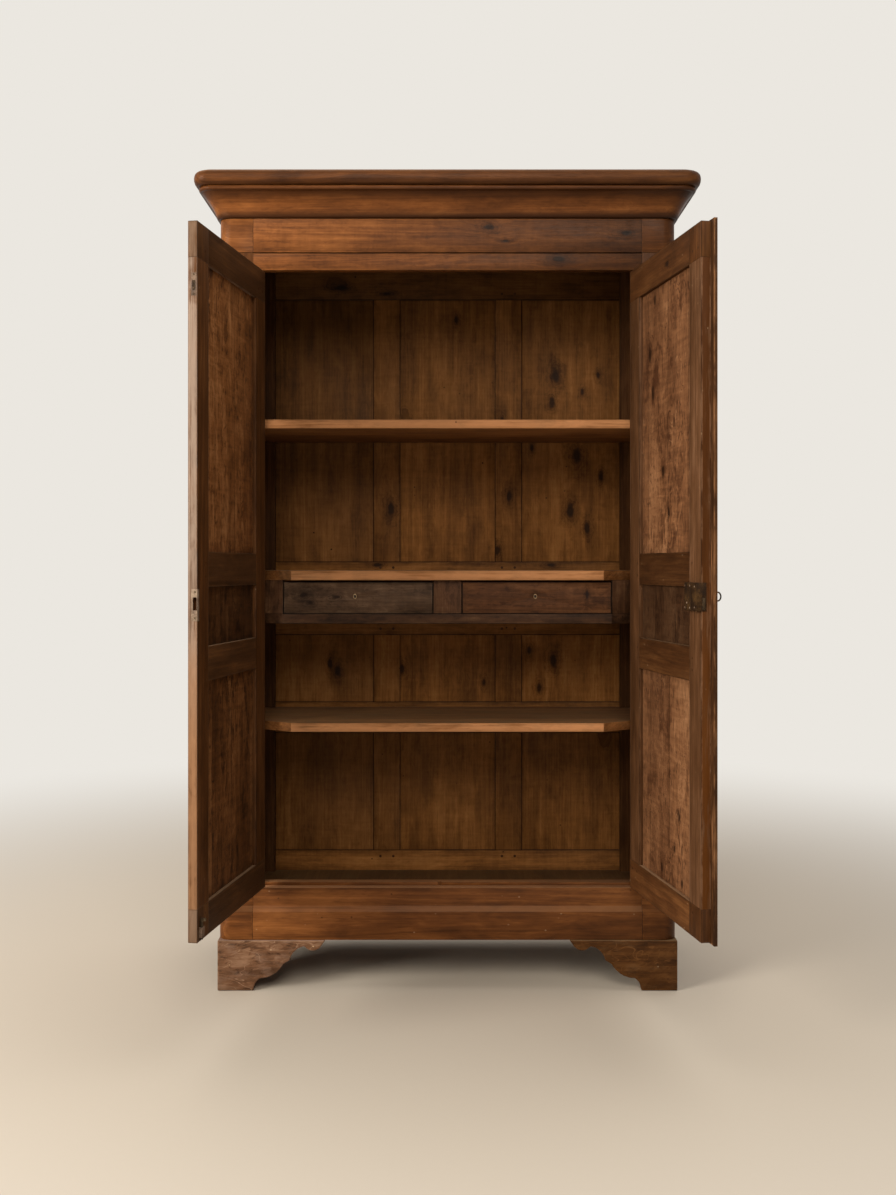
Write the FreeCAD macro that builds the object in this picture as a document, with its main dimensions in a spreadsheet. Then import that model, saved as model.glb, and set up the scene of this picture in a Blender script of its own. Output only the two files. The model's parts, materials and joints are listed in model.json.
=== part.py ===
import FreeCAD, Part
import Sketcher
import os
import re

# An old country wardrobe: a framed case on bracket feet under a moulded cornice, with two
# panelled doors standing open, three shelves and a pair of drawers.
# X runs to the right, Y from the doors to the back, Z up. The origin lies on the floor,
# in the middle of the case's footprint.

SIZES = {
    # the case, from the floor up
    "case_width": 1260,
    "case_depth": 480,
    "foot_height": 138,
    "plinth_height": 77,
    "bevel_height": 15,
    "sill_height": 49.5,
    "opening_height": 1699.5,
    "head_rail_height": 47,
    "frieze_joint": 2,
    "frieze_height": 94,
    "plinth_step": 10,
    "front_board": 26,
    # the four posts
    "post_width": 95,
    "front_post_depth": 42,
    "back_post_depth": 45,
    "corner_radius": 36,
    # joints of every frame: a panel's tongue and a rail's tenon lie in one plane
    "tongue_thickness": 6,
    "tongue_play": 0.2,
    "groove_depth": 12,
    "panel_room": 1,
    "tenon_length": 30,
    "tenon_play": 0.5,
    "front_tenon_set": 9,
    # the sides
    "side_thickness": 24,
    "side_inset": 4,
    "side_bottom_rail": 141,
    "side_mid_level": 1100,
    "side_mid_rail": 95,
    "side_top_rail": 120,
    "field_margin": 38,
    "field_rise": 5,
    # the back
    "back_thickness": 25,
    "back_recess": 5,
    "back_bottom_rail": 144,
    "back_lower_panel": 363,
    "back_lower_rail": 98,
    "back_middle_panel": 207,
    "back_mid_rail": 229,
    "back_top_rail": 130,
    "back_centre_panel": 294,
    "muntin_width": 84.5,
    # floor, door stop and the boards over the case
    "floor_level": 219,
    "floor_thickness": 18,
    "bearer_width": 50,
    "bearer_height": 30,
    "stop_play": 0.5,
    "stop_thickness": 28,
    "stop_rise": 9,
    "top_board_thickness": 16,
    # the cornice
    "cornice_seat": 12,
    "cornice_overhang": 50,
    "cyma_height": 65,
    "bead_height": 13,
    "cap_overhang": 63,
    "cap_height": 40.5,
    "cornice_radius": 42,
    "cornice_front_depth": 50,
    # the bracket feet
    "foot_length": 296,
    "side_foot_length": 236,
    "foot_thickness": 28,
    "foot_proud": 4,
    "foot_side_proud": 1,
    "foot_block": 60,
    # the shelves
    "shelf_setback": 45,
    "shelf_thickness": 25,
    "drawer_top_thickness": 27.5,
    "shelf_play": 0.5,
    "upper_shelf_level": 1548.5,
    "drawer_top_level": 1125,
    "lower_shelf_level": 702,
    "cant_inset": 100,
    "cant_width": 90,
    "cant_depth": 60,
    "cleat_width": 18,
    "cleat_height": 30,
    "cleat_setback": 185,
    # the drawers and their frame
    "drawer_setback": 62,
    "drawer_rail_height": 28,
    "drawer_rail_level": 1003,
    "drawer_rail_depth": 110,
    "divider_width": 80,
    "divider_depth": 28,
    "runner_height": 22,
    "runner_width": 30,
    "guide_height": 28,
    "drawer_play": 0.5,
    "drawer_gap": 1.5,
    "drawer_front_thickness": 22,
    "drawer_front_height": 89,
    "drawer_side_thickness": 12,
    "drawer_side_height": 78,
    "drawer_back_gap": 21,
    "drawer_bottom_thickness": 7,
    "drawer_bottom_lift": 6,
    "drawer_groove": 5,
    "lining_radius": 5,
    "lining_depth": 9,
    "drawer_keyhole_radius": 2,
    "drawer_keyhole_slot": 2.2,
    "drawer_keyhole_drop": 4,
    # the doors
    "door_side_gap": 5,
    "meeting_gap": 6,
    "door_bottom_gap": 6.5,
    "door_top_gap": 9,
    "door_set": 2,
    "door_thickness": 24,
    "door_edge_round": 5,
    "door_recess": 10,
    "hinge_stile": 80,
    "meeting_stile": 76,
    "door_bottom_rail": 78,
    "door_lower_panel": 527,
    "door_low_mid_rail": 82,
    "door_middle_panel": 142,
    "door_high_mid_rail": 83,
    "door_top_rail": 85,
    "left_open_angle": 99,
    "right_open_angle": 100,
    # the hinges
    "hinge_offset": 2,
    "hinge_stand": 8,
    "knuckle_radius": 6.5,
    "knuckle_height": 55,
    "pin_radius": 3,
    "pin_play": 0.05,
    "pin_height": 42,
    "hinge_play": 0.3,
    "leaf_thickness": 1.8,
    "leaf_reach": 20,
    "finial_neck": 3,
    "finial_radius": 5,
    # the strip that covers the meeting of the doors
    "astragal_width": 30,
    "astragal_lap": 12,
    "astragal_thickness": 14,
    "astragal_round": 5,
    "astragal_end": 4,
    "astragal_play": 0.6,
    # the lock on the right door and the strike on the left one
    "key_drop": 22.5,
    "key_inset": 38,
    "lock_width": 76,
    "lock_height": 67,
    "lock_bed_width": 62,
    "lock_sunk": 12,
    "lock_proud": 12,
    "lock_wall": 2,
    "bolt_thickness": 7,
    "bolt_height": 28,
    "bolt_drop": 30,
    "bolt_length": 27,
    "bolt_set": 20,
    "bolt_play": 0.3,
    "keyhole_radius": 3.8,
    "keyhole_slot": 4.4,
    "keyhole_drop": 12,
    "shank_radius": 3,
    "shank_proud": 26,
    "bow_height": 24,
    "bow_width": 19,
    "bow_thickness": 3.6,
    "bit_width": 9,
    "bit_thickness": 3,
    "bit_drop": 10.5,
    "bit_clear": 3,
    "escutcheon_width": 24,
    "escutcheon_height": 46,
    "escutcheon_crown": 9,
    "escutcheon_thickness": 1.6,
    "strike_height": 75,
    "strike_drop": 56.5,
    "strike_thickness": 1.5,
    "strike_set": 11,
    "strike_wrap": 12,
    "slot_play": 1.2,
    "slot_depth": 16,
    # the small bolts of the left door
    "edge_plate_drop": 175,
    "edge_plate_height": 54,
    "edge_plate_width": 13,
    "edge_plate_set": 11,
    "edge_plate_thickness": 2,
    "rod_width": 6,
    "rod_thickness": 6,
    "rod_play": 0.3,
    "rod_foot": 14,
    "thumb_height": 7,
    "edge_bolt_travel": 15,
    "keep_depth": 20,
    "keeper_edge": 9,
    "keeper_width": 18,
    "keeper_height": 24,
    "keeper_lift": 10,
    "keeper_thickness": 8.5,
    "foot_bolt_lift": 4.5,
    "foot_bolt_length": 50,
    "foot_bolt_travel": 12,
    # how far every cut runs past what it cuts
    "overrun": 1,
}

# Where seams and hinges lie, as shares of the width, depth or height that they divide
floor_seam_shares = (0, 0.351, 0.68, 1)
top_seam_shares = (0, 0.34, 0.67, 1)
hinge_height_shares = (0.09, 0.5, 0.91)
drawer_keyhole_share = 0.54
keyhole_across_shares = {"right": 0.49, "left": 0.522}

# The cornice's steps: how far each stands out, as a share of its overhang, at a share of
# its height. A hollow rises over a narrow toe to a bead, and a round-edged cap lies on top.
toe_shares = ((0.12, 0), (0.18, 0.06))
hollow_shares = ((0.18, 0.06), (0.34, 0.43), (0.55, 0.69), (0.88, 1))
bead_shares = ((0.97, 0), (1.03, 0.5), (0.97, 1))
cap_shares = ((0.83, 0), (0.96, 0.18), (1, 0.5), (0.96, 0.82), (0.83, 1))

# The bracket foot's scroll: places along its length and height, and how far each stretch
# swells towards the open side (or hollows, where negative), as a share of its height
foot_scroll_shares = (
    (0.334, 0, -0.04),
    (0.399, 0.246, 0.072),
    (0.608, 0.522, 0),
    (0.669, 0.601, -0.065),
    (0.807, 0.877, 0.08),
    (0.955, 0.87, 0),
    (1, 1, 0),
)

# Places worked out from the sizes, in words that stand for them in every expression
front = "(-case_depth / 2)"
back = "(case_depth / 2)"
half = "(case_width / 2)"
post_inner = "(case_width / 2 - post_width)"
inside = "(case_width / 2 - side_inset - side_thickness)"
front_post_rear = f"({front} + front_post_depth)"
back_post_face = f"({back} - back_post_depth)"
back_face = f"({back} - back_thickness)"
plinth_top = "(foot_height + plinth_height)"
bevel_top = f"({plinth_top} + bevel_height)"
sill = f"({bevel_top} + sill_height)"
head_under = f"({sill} + opening_height)"
head_top = f"({head_under} + head_rail_height)"
frieze_under = f"({head_top} + frieze_joint)"
case_top = f"({frieze_under} + frieze_height)"
floor_under = "(floor_level - floor_thickness)"

door_face = f"({front} + door_set)"
door_rear = f"({door_face} + door_thickness)"
door_low = f"({sill} + door_bottom_gap)"
door_high = f"({head_under} - door_top_gap)"
door_tongue = (f"{door_rear} - door_recess - tongue_thickness", f"{door_rear} - door_recess")

doc = FreeCAD.newDocument("Wardrobe")
sheet = doc.addObject("Spreadsheet::Sheet", "Sizes")
for row, (alias, size) in enumerate(SIZES.items(), start=1):
    sheet.set(f"A{row}", alias)
    sheet.set(f"B{row}", str(size))
    sheet.setAlias(f"B{row}", alias)
doc.recompute()

subparts = []


def bound(text):
    """An expression that reads each named size from the sheet."""
    return re.sub(r"\b(?!(?:cos|sin|tan|sqrt|pow)\b)[a-z][a-z_]*\b", r"Sizes.\g<0>", text)


def value(text):
    return float(sheet.evalExpression(bound(text)))


def place(piece, x="0", y="0", z="0"):
    for axis, text in zip("xyz", (x, y, z)):
        piece.setExpression(f"Placement.Base.{axis}", bound(text))
    return piece


def turned(piece, degrees, x, y, z="0"):
    """Stands a piece at a place, turned about the upright through that place."""
    at = f"vector({bound(x)}; {bound(y)}; {bound(z)})"
    piece.setExpression("Placement", f"placement({at}; rotation(vector(0; 0; 1); {bound(degrees)}))")
    return piece


def wider(pair, by):
    return (f"{pair[0]} - {by}", f"{pair[1]} + {by}")


def block(name, x, y, z):
    """A straight board or cut that fills three ranges."""
    box = doc.addObject("Part::Box", name)
    for side, pair in zip(("Length", "Width", "Height"), (x, y, z)):
        box.setExpression(side, bound(f"({pair[1]}) - ({pair[0]})"))
    return place(box, x[0], y[0], z[0])


def rod(name, radius, length, x, y, z, lying=False):
    """A round bar standing on its foot, or lying from front to back."""
    bar = doc.addObject("Part::Cylinder", name)
    bar.setExpression("Radius", bound(radius))
    bar.setExpression("Height", bound(length))
    if lying:
        bar.Placement.Rotation = FreeCAD.Rotation(FreeCAD.Vector(1, 0, 0), -90)
    return place(bar, x, y, z)


def ball(name, radius, x, y, z):
    knob = doc.addObject("Part::Sphere", name)
    knob.setExpression("Radius", bound(radius))
    return place(knob, x, y, z)


def joined(name, pieces):
    whole = doc.addObject("Part::MultiFuse", name)
    whole.Shapes = pieces
    whole.Refine = True
    return whole


def without(name, base, waste):
    """A piece with its waste cut away."""
    rest = doc.addObject("Part::Cut", name)
    rest.Base = base
    rest.Tool = waste[0] if len(waste) == 1 else joined(name + "_waste", waste)
    return rest


def group(name, pieces):
    together = doc.addObject("Part::Compound", name)
    together.Links = pieces
    return together


def mirrored(name, source):
    """The same piece on the other side of the case's middle."""
    other = doc.addObject("Part::Mirroring", name)
    other.Source = source
    other.Normal = FreeCAD.Vector(1, 0, 0)
    return other


def keep(label, piece):
    """Names a finished sub-part, which goes to a file of that name."""
    piece.Label = label
    subparts.append(piece)
    return piece


def sketch_on(body, role, points, lift="0"):
    """A closed outline: each point is (across, up) or (across, up, swell of the next stretch)."""
    plane = [feature for feature in body.Origin.OriginFeatures if feature.Role == role][0]
    sketch = body.newObject("Sketcher::SketchObject", body.Name + "_outline")
    sketch.AttachmentSupport = [(plane, "")]
    sketch.MapMode = "FlatFace"
    sketch.setExpression("AttachmentOffset.Base.z", bound(lift))
    spots = [(value(point[0]), value(point[1])) for point in points]
    count = len(points)
    for number, point in enumerate(points):
        start = FreeCAD.Vector(*spots[number], 0)
        end = FreeCAD.Vector(*spots[(number + 1) % count], 0)
        swell = value(point[2]) if len(point) > 2 else 0
        if swell:
            chord = end - start
            outward = FreeCAD.Vector(chord.y, -chord.x, 0).normalize()
            middle = (start + end) * 0.5 + outward * swell
            sketch.addGeometry(Part.Arc(start, middle, end), False)
        else:
            sketch.addGeometry(Part.LineSegment(start, end), False)
    begins = [start_of(sketch, number, spots[number]) for number in range(count)]
    for number in range(count):
        after = (number + 1) % count
        sketch.addConstraint(
            Sketcher.Constraint("Coincident", number, 3 - begins[number], after, begins[after])
        )
    for number, point in enumerate(points):
        for kind, text in (("DistanceX", point[0]), ("DistanceY", point[1])):
            size = Sketcher.Constraint(kind, -1, 1, number, begins[number], value(text))
            index = sketch.addConstraint(size)
            sketch.setExpression(f"Constraints[{index}]", bound(text))
        if len(point) > 2 and value(point[2]):
            after = points[(number + 1) % count]
            chord = f"(pow({after[0]} - ({point[0]}); 2) + pow({after[1]} - ({point[1]}); 2))"
            swell = f"sqrt(pow({point[2]}; 2))"
            radius = f"({chord} / 4 + pow({point[2]}; 2)) / (2 * {swell})"
            index = sketch.addConstraint(Sketcher.Constraint("Radius", number, value(radius)))
            sketch.setExpression(f"Constraints[{index}]", bound(radius))
    return sketch


def start_of(sketch, number, spot):
    """Which end of a stretch is its first: arcs run anticlockwise whatever their points' order."""
    first = sketch.getPoint(number, 1)
    second = sketch.getPoint(number, 2)
    here = FreeCAD.Vector(*spot, 0)
    return 1 if first.distanceToPoint(here) <= second.distanceToPoint(here) else 2


def padded(body, sketch, thickness, backwards=False):
    pad = body.newObject("PartDesign::Pad", body.Name + "_pad")
    pad.Profile = sketch
    pad.setExpression("Length", bound(thickness))
    pad.Reversed = backwards
    sketch.Visibility = False
    return pad


def plate(name, role, points, thickness):
    """A board sawn to an outline. On the upright XZ plane its thickness runs to the back."""
    body = doc.addObject("PartDesign::Body", name)
    padded(body, sketch_on(body, role, points), thickness, role == "XZ_Plane")
    return body


# Front posts: the outer corner is rounded, and below the bevel the post stands out like the
# plinth beside it
def post_section(face):
    return (
        (f"-{half}", front_post_rear),
        (f"-{half}", f"{face} + corner_radius", f"corner_radius * (1 - sqrt(2) / 2)"),
        (f"-{half} + corner_radius", face),
        (f"-{post_inner}", face),
        (f"-{post_inner}", front_post_rear),
    )


front_post = doc.addObject("PartDesign::Body", "front_post")
plinth_face = f"{front} - plinth_step"
low_section = sketch_on(front_post, "XY_Plane", post_section(plinth_face), "foot_height")
padded(front_post, low_section, "plinth_height")
bevel_foot = sketch_on(front_post, "XY_Plane", post_section(plinth_face), plinth_top)
bevel_head = sketch_on(front_post, "XY_Plane", post_section(front), bevel_top)
bevel = front_post.newObject("PartDesign::AdditiveLoft", "post_bevel")
bevel.Profile = bevel_foot
bevel.Sections = [bevel_head]
bevel.Ruled = True
padded(front_post, bevel_head, f"{case_top} - {bevel_top}")

back_post = block(
    "back_post", (f"-{half}", f"-{post_inner}"), (back_post_face, back), ("0", case_top)
)

# The ranges that the front rails fill, and the plane of their tenons
front_tenon = (f"{front} + front_tenon_set", f"{front} + front_tenon_set + tongue_thickness")
base_range = ("foot_height", sill)
head_range = (head_under, head_top)
frieze_range = (frieze_under, case_top)
front_rails = (base_range, head_range, frieze_range)

# The ranges of the side rails and back rails
side_tongue = (
    f"-{inside} - (side_thickness + tongue_thickness) / 2",
    f"-{inside} - (side_thickness - tongue_thickness) / 2",
)
side_rails = (
    ("foot_height", "foot_height + side_bottom_rail"),
    ("side_mid_level", "side_mid_level + side_mid_rail"),
    (f"{case_top} - side_top_rail", case_top),
)
back_tongue = (f"{back_face} + back_recess", f"{back_face} + back_recess + tongue_thickness")
back_lower = "(foot_height + back_bottom_rail + back_lower_panel)"
back_middle = f"({back_lower} + back_lower_rail + back_middle_panel)"
back_upper = f"({case_top} - back_top_rail)"
back_rails = (
    ("foot_height", "foot_height + back_bottom_rail"),
    (back_lower, f"{back_lower} + back_lower_rail"),
    (back_middle, f"{back_middle} + back_mid_rail"),
    (back_upper, case_top),
)


def narrower(pair, by="groove_depth"):
    return (f"{pair[0]} + {by}", f"{pair[1]} - {by}")


def between(pairs):
    """The open ranges between rails that follow each other upwards."""
    return [(low[1], high[0]) for low, high in zip(pairs, pairs[1:])]


def past(low, high):
    return wider((low, high), "overrun")


# Mortises and panel grooves of the left posts; the right posts are their mirror images
post_side = (f"-{post_inner} - tenon_length - tenon_play", f"-{post_inner} + overrun")
front_post_cuts = [
    block(f"front_mortise_{number}", post_side, wider(front_tenon, "tongue_play"),
          wider(narrower(rail), "tenon_play"))
    for number, rail in enumerate(front_rails)
]
side_panel_run = past("foot_height", case_top)
front_post_cuts.append(
    block("front_post_groove", wider(side_tongue, "tongue_play"),
          (f"{front_post_rear} - groove_depth", f"{front_post_rear} + overrun"), side_panel_run)
)
back_post_cuts = [
    block("back_post_side_groove", wider(side_tongue, "tongue_play"),
          (f"{back_post_face} - overrun", f"{back_post_face} + groove_depth"), side_panel_run),
    block("back_post_back_groove", (f"-{post_inner} - groove_depth", f"-{post_inner} + overrun"),
          wider(back_tongue, "tongue_play"), side_panel_run),
]
for number, rail in enumerate(side_rails):
    deep = "tenon_length / 2 + groove_depth / 2 + tenon_play"
    tall = wider(narrower(rail), "tenon_play")
    front_post_cuts.append(
        block(f"front_side_mortise_{number}", wider(side_tongue, "tongue_play"),
              (f"{front_post_rear} - ({deep})", f"{front_post_rear} + overrun"), tall)
    )
    back_post_cuts.append(
        block(f"back_side_mortise_{number}", wider(side_tongue, "tongue_play"),
              (f"{back_post_face} - overrun", f"{back_post_face} + {deep}"), tall)
    )
for number, rail in enumerate(back_rails):
    back_post_cuts.append(
        block(f"back_mortise_{number}", post_side, wider(back_tongue, "tongue_play"),
              wider(narrower(rail), "tenon_play"))
    )
left_front_post = keep("left_front_post", without("front_post_cut", front_post, front_post_cuts))
keep("right_front_post", mirrored("front_post_mirror", left_front_post))
left_back_post = keep("left_back_post", without("back_post_cut", back_post, back_post_cuts))
keep("right_back_post", mirrored("back_post_mirror", left_back_post))


# Front rails between the posts
def front_tenons(name, rail):
    return block(name, (f"-{post_inner} - tenon_length", f"{post_inner} + tenon_length"),
                 front_tenon, narrower(rail))


across = (f"-{post_inner}", post_inner)
base_profile = (
    ("-plinth_step", "0"),
    ("front_board", "0"),
    ("front_board", "plinth_height + bevel_height + sill_height"),
    ("0", "plinth_height + bevel_height + sill_height"),
    ("0", "plinth_height + bevel_height"),
    ("-plinth_step", "plinth_height"),
)
base_board = plate("base_board", "YZ_Plane", base_profile, f"2 * {post_inner}")
place(base_board, f"-{post_inner}", front, "foot_height")
keep("base_rail", joined("base_joined", [base_board, front_tenons("base_tenons", base_range)]))

# The edge bolt of the left door enters the head rail, and the foot bolt the door stop
rod_x = (
    "-meeting_gap / 2 - edge_plate_thickness - rod_play - rod_width",
    "-meeting_gap / 2 - edge_plate_thickness - rod_play",
)
rod_middle = f"{front} + edge_plate_set + edge_plate_width / 2"
rod_y = (f"{rod_middle} - rod_thickness / 2", f"{rod_middle} + rod_thickness / 2")
foot_rod_middle = "-meeting_gap / 2 - keeper_edge - keeper_width / 2"
foot_rod_x = (f"{foot_rod_middle} - rod_width / 2", f"{foot_rod_middle} + rod_width / 2")
foot_rod_y = (
    f"{door_rear} + (keeper_thickness - rod_thickness) / 2",
    f"{door_rear} + (keeper_thickness + rod_thickness) / 2",
)
head_board = block("head_board", across, (front, f"{front} + front_board"), head_range)
head_joined = joined("head_joined", [head_board, front_tenons("head_tenons", head_range)])
head_keep = block("head_keep", wider(rod_x, "slot_play"), wider(rod_y, "slot_play"),
                  (f"{head_under} - overrun", f"{head_under} + keep_depth"))
keep("head_rail", without("head_cut", head_joined, [head_keep]))

frieze = block("frieze", across, (front, f"{front} + front_board"), frieze_range)
keep("frieze_board", joined("frieze_joined", [frieze, front_tenons("frieze_tenons", frieze_range)]))

stop_face = f"({front} + front_board + stop_play)"
stop_rear = f"({stop_face} + stop_thickness)"
stop_top = f"({sill} + stop_rise)"
stop_board = block("stop_board", across, (stop_face, stop_rear), (floor_under, stop_top))
stop_keep = block("stop_keep", wider(foot_rod_x, "slot_play"), wider(foot_rod_y, "slot_play"),
                  (f"{stop_top} - keep_depth", f"{stop_top} + overrun"))
keep("door_stop", without("stop_cut", stop_board, [stop_keep]))

# Sides: three rails and two panels each, tongued into the posts
side_board = (f"-{half} + side_inset", f"-{half} + side_inset + side_thickness")
side_run = (front_post_rear, back_post_face)
side_reach = wider(side_run, "(tenon_length + groove_depth) / 2")
rails = []
for number, rail in enumerate(side_rails):
    bar = joined(f"side_rail_{number}", [
        block(f"side_bar_{number}", side_board, side_run, rail),
        block(f"side_tenons_{number}", side_tongue, side_reach, narrower(rail)),
    ])
    grooves = []
    if number > 0:
        grooves.append((f"{rail[0]} - overrun", f"{rail[0]} + groove_depth"))
    if number < len(side_rails) - 1:
        grooves.append((f"{rail[1]} - groove_depth", f"{rail[1]} + overrun"))
    rails.append(without(f"side_grooved_{number}", bar, [
        block(f"side_groove_{number}_{index}", wider(side_tongue, "tongue_play"),
              past(*side_reach), groove)
        for index, groove in enumerate(grooves)
    ]))
left_side_rails = keep("left_side_rails", group("side_rail_group", rails))
keep("right_side_rails", mirrored("side_rail_mirror", left_side_rails))

tongue_reach = "(groove_depth - panel_room)"


def fielded(name, across_run, up_run):
    """The raised outer face of a panel, bevelled all round up to a plain field.

    It is drawn with its thickness along its own Y, and its field on the side of zero.
    """
    wedge = doc.addObject("Part::Wedge", name)
    width = f"({across_run[1]}) - ({across_run[0]})"
    height = f"({up_run[1]}) - ({up_run[0]})"
    wedge.Ymin = 0
    wedge.setExpression("Ymax", bound("field_rise"))
    for axis, size in (("X", width), ("Z", height)):
        wedge.setExpression(f"{axis}min", bound("field_margin"))
        wedge.setExpression(f"{axis}max", bound(f"{size} - field_margin"))
        wedge.setExpression(f"{axis}2min", bound("0"))
        wedge.setExpression(f"{axis}2max", bound(size))
    return wedge


side_panels = []
for number, opening in enumerate(between(side_rails)):
    tongue = block(f"side_tongue_{number}", side_tongue, wider(side_run, tongue_reach),
                   wider(opening, tongue_reach))
    field = fielded(f"side_field_{number}", side_run, opening)
    turned(field, "-90", side_tongue[0] + " - field_rise", back_post_face, opening[0])
    side_panels.append(joined(f"side_panel_{number}", [tongue, field]))
left_side_panels = keep("left_side_panels", group("side_panel_group", side_panels))
keep("right_side_panels", mirrored("side_panel_mirror", left_side_panels))

# Back: four rails, two muntins in each row and three panels between them
centre_edge = "(back_centre_panel / 2)"
muntin_edge = f"({centre_edge} + muntin_width)"
muntin_left = (f"-{muntin_edge}", f"-{centre_edge}")
muntin_right = (centre_edge, muntin_edge)
back_board = (back_face, back)
back_reach = wider(across, "tenon_length")
muntin_mortises = []
muntins = []
for number, opening in enumerate(between(back_rails)):
    for index, muntin in enumerate((muntin_left, muntin_right)):
        post = block(f"muntin_{number}_{index}", muntin, back_board, opening)
        tenon = block(f"muntin_tenon_{number}_{index}", narrower(muntin), back_tongue,
                      wider(opening, "tenon_length"))
        grooves = [
            block(f"muntin_groove_{number}_{index}_{side}", edge, wider(back_tongue, "tongue_play"),
                  past(*opening))
            for side, edge in enumerate((
                (f"{muntin[0]} - overrun", f"{muntin[0]} + groove_depth"),
                (f"{muntin[1]} - groove_depth", f"{muntin[1]} + overrun"),
            ))
        ]
        grooved = without(f"muntin_cut_{number}_{index}", post, grooves)
        muntins.append(joined(f"muntin_whole_{number}_{index}", [grooved, tenon]))
        muntin_mortises.append(
            block(f"muntin_mortise_{number}_{index}", wider(narrower(muntin), "tenon_play"),
                  wider(back_tongue, "tongue_play"),
                  wider(opening, "(tenon_length + tenon_play)"))
        )
rails = []
for number, rail in enumerate(back_rails):
    bar = joined(f"back_rail_{number}", [
        block(f"back_bar_{number}", across, back_board, rail),
        block(f"back_tenons_{number}", back_reach, back_tongue, narrower(rail)),
    ])
    cuts = []
    if number > 0:
        cuts.append((f"{rail[0]} - overrun", f"{rail[0]} + groove_depth"))
    if number < len(back_rails) - 1:
        cuts.append((f"{rail[1]} - groove_depth", f"{rail[1]} + overrun"))
    waste = [
        block(f"back_groove_{number}_{index}", past(*across), wider(back_tongue, "tongue_play"),
              cut)
        for index, cut in enumerate(cuts)
    ]
    near = [2 * row + side for row in (number - 1, number) for side in (0, 1)
            if 0 <= row < len(back_rails) - 1]
    rails.append(without(f"back_cut_{number}", bar, waste + [muntin_mortises[n] for n in near]))
keep("back_rails", group("back_rail_group", rails))
keep("back_muntins", group("muntin_group", muntins))
columns = (
    (f"-{post_inner}", f"-{muntin_edge}"),
    (f"-{centre_edge}", centre_edge),
    (muntin_edge, post_inner),
)
keep("back_panels", group("back_panel_group", [
    block(f"back_panel_{row}_{column}", wider(run, tongue_reach), back_tongue,
          wider(opening, tongue_reach))
    for row, opening in enumerate(between(back_rails))
    for column, run in enumerate(columns)
]))

# Floor boards run from the door stop to the back, notched round the back posts
floor_range = (floor_under, "floor_level")
post_notches = [
    block("notch_right", (f"{post_inner} - shelf_play", f"{half} + overrun"),
          (f"{back_post_face} - shelf_play", f"{back} + overrun"), past("0", case_top)),
    block("notch_left", (f"-{half} - overrun", f"-{post_inner} + shelf_play"),
          (f"{back_post_face} - shelf_play", f"{back} + overrun"), past("0", case_top)),
]
floor_width = f"(2 * {inside})"
boards = []
for number, (low, high) in enumerate(zip(floor_seam_shares, floor_seam_shares[1:])):
    run = (f"-{inside} + {low} * {floor_width}", f"-{inside} + {high} * {floor_width}")
    board = block(f"floor_board_{number}", run, (stop_rear, back_face), floor_range)
    boards.append(without(f"floor_cut_{number}", board, post_notches))
keep("floor_boards", group("floor_group", boards))

# Shelves: the outline leaves the posts and, where the corners are canted, the doors' hinges
shelf_half = f"({inside} - shelf_play)"
cant_start = f"({post_inner} - cant_inset)"
cant_slope = "cant_depth / cant_width"
cant_back = f"({front} + shelf_setback + ({shelf_half} - {cant_start}) * {cant_slope})"
shelf_rear = f"({back_face} - shelf_play)"


def shelf_outline(canted):
    """The shelf's corners, anticlockwise from the left end of its back edge."""
    face = f"{front} + shelf_setback"
    notch_x = f"{post_inner} - shelf_play"
    notch_y = f"{back_post_face} - shelf_play"
    if canted:
        left = [(f"-{shelf_half}", cant_back), (f"-{cant_start}", face)]
    else:
        left = [(f"-{shelf_half}", face)]
    right = [(across_text.lstrip("-"), up) for across_text, up in reversed(left)]
    left_rear = [(f"-({notch_x})", shelf_rear), (f"-({notch_x})", notch_y),
                 (f"-{shelf_half}", notch_y)]
    right_rear = [(shelf_half, notch_y), (notch_x, notch_y), (notch_x, shelf_rear)]
    return left_rear + left + right + right_rear


for label, level, thickness, canted in (
    ("upper_shelf", "upper_shelf_level", "shelf_thickness", False),
    ("drawer_top_shelf", "drawer_top_level", "drawer_top_thickness", True),
    ("lower_shelf", "lower_shelf_level", "shelf_thickness", True),
):
    shelf = plate(label + "_board", "XY_Plane", shelf_outline(canted), thickness)
    keep(label, place(shelf, z=level))

# Battens: two bearers under the floor, and a cleat under each end of each shelf
bearer_range = (f"{floor_under} - bearer_height", floor_under)
battens = [
    block("front_bearer", across, (f"{front} + front_board", f"{front} + front_board + bearer_width"),
          bearer_range),
    block("back_bearer", across, (f"{back_face} - bearer_width", back_face), bearer_range),
]
for level in ("upper_shelf_level", "drawer_top_level", "lower_shelf_level"):
    for side, run in (("left", (f"-{inside}", f"-{inside} + cleat_width")),
                      ("right", (f"{inside} - cleat_width", inside))):
        battens.append(block(f"{side}_cleat_{level}", run,
                             (f"{front} + cleat_setback", back_post_face),
                             (f"{level} - cleat_height", level)))
keep("battens", group("batten_group", battens))

# Boards over the case, inside the cornice
seat = f"({half} - cornice_seat)"
top_face = f"({front} + cornice_seat)"
top_depth = f"({back} - {top_face})"
top_range = (case_top, f"{case_top} + top_board_thickness")
boards = []
for number, (low, high) in enumerate(zip(top_seam_shares, top_seam_shares[1:])):
    run = (f"{top_face} + {low} * {top_depth}", f"{top_face} + {high} * {top_depth}")
    board = block(f"top_board_{number}", (f"-{seat}", seat), run, top_range)
    boards.append(board)
keep("top_boards", group("top_group", boards))

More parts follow.
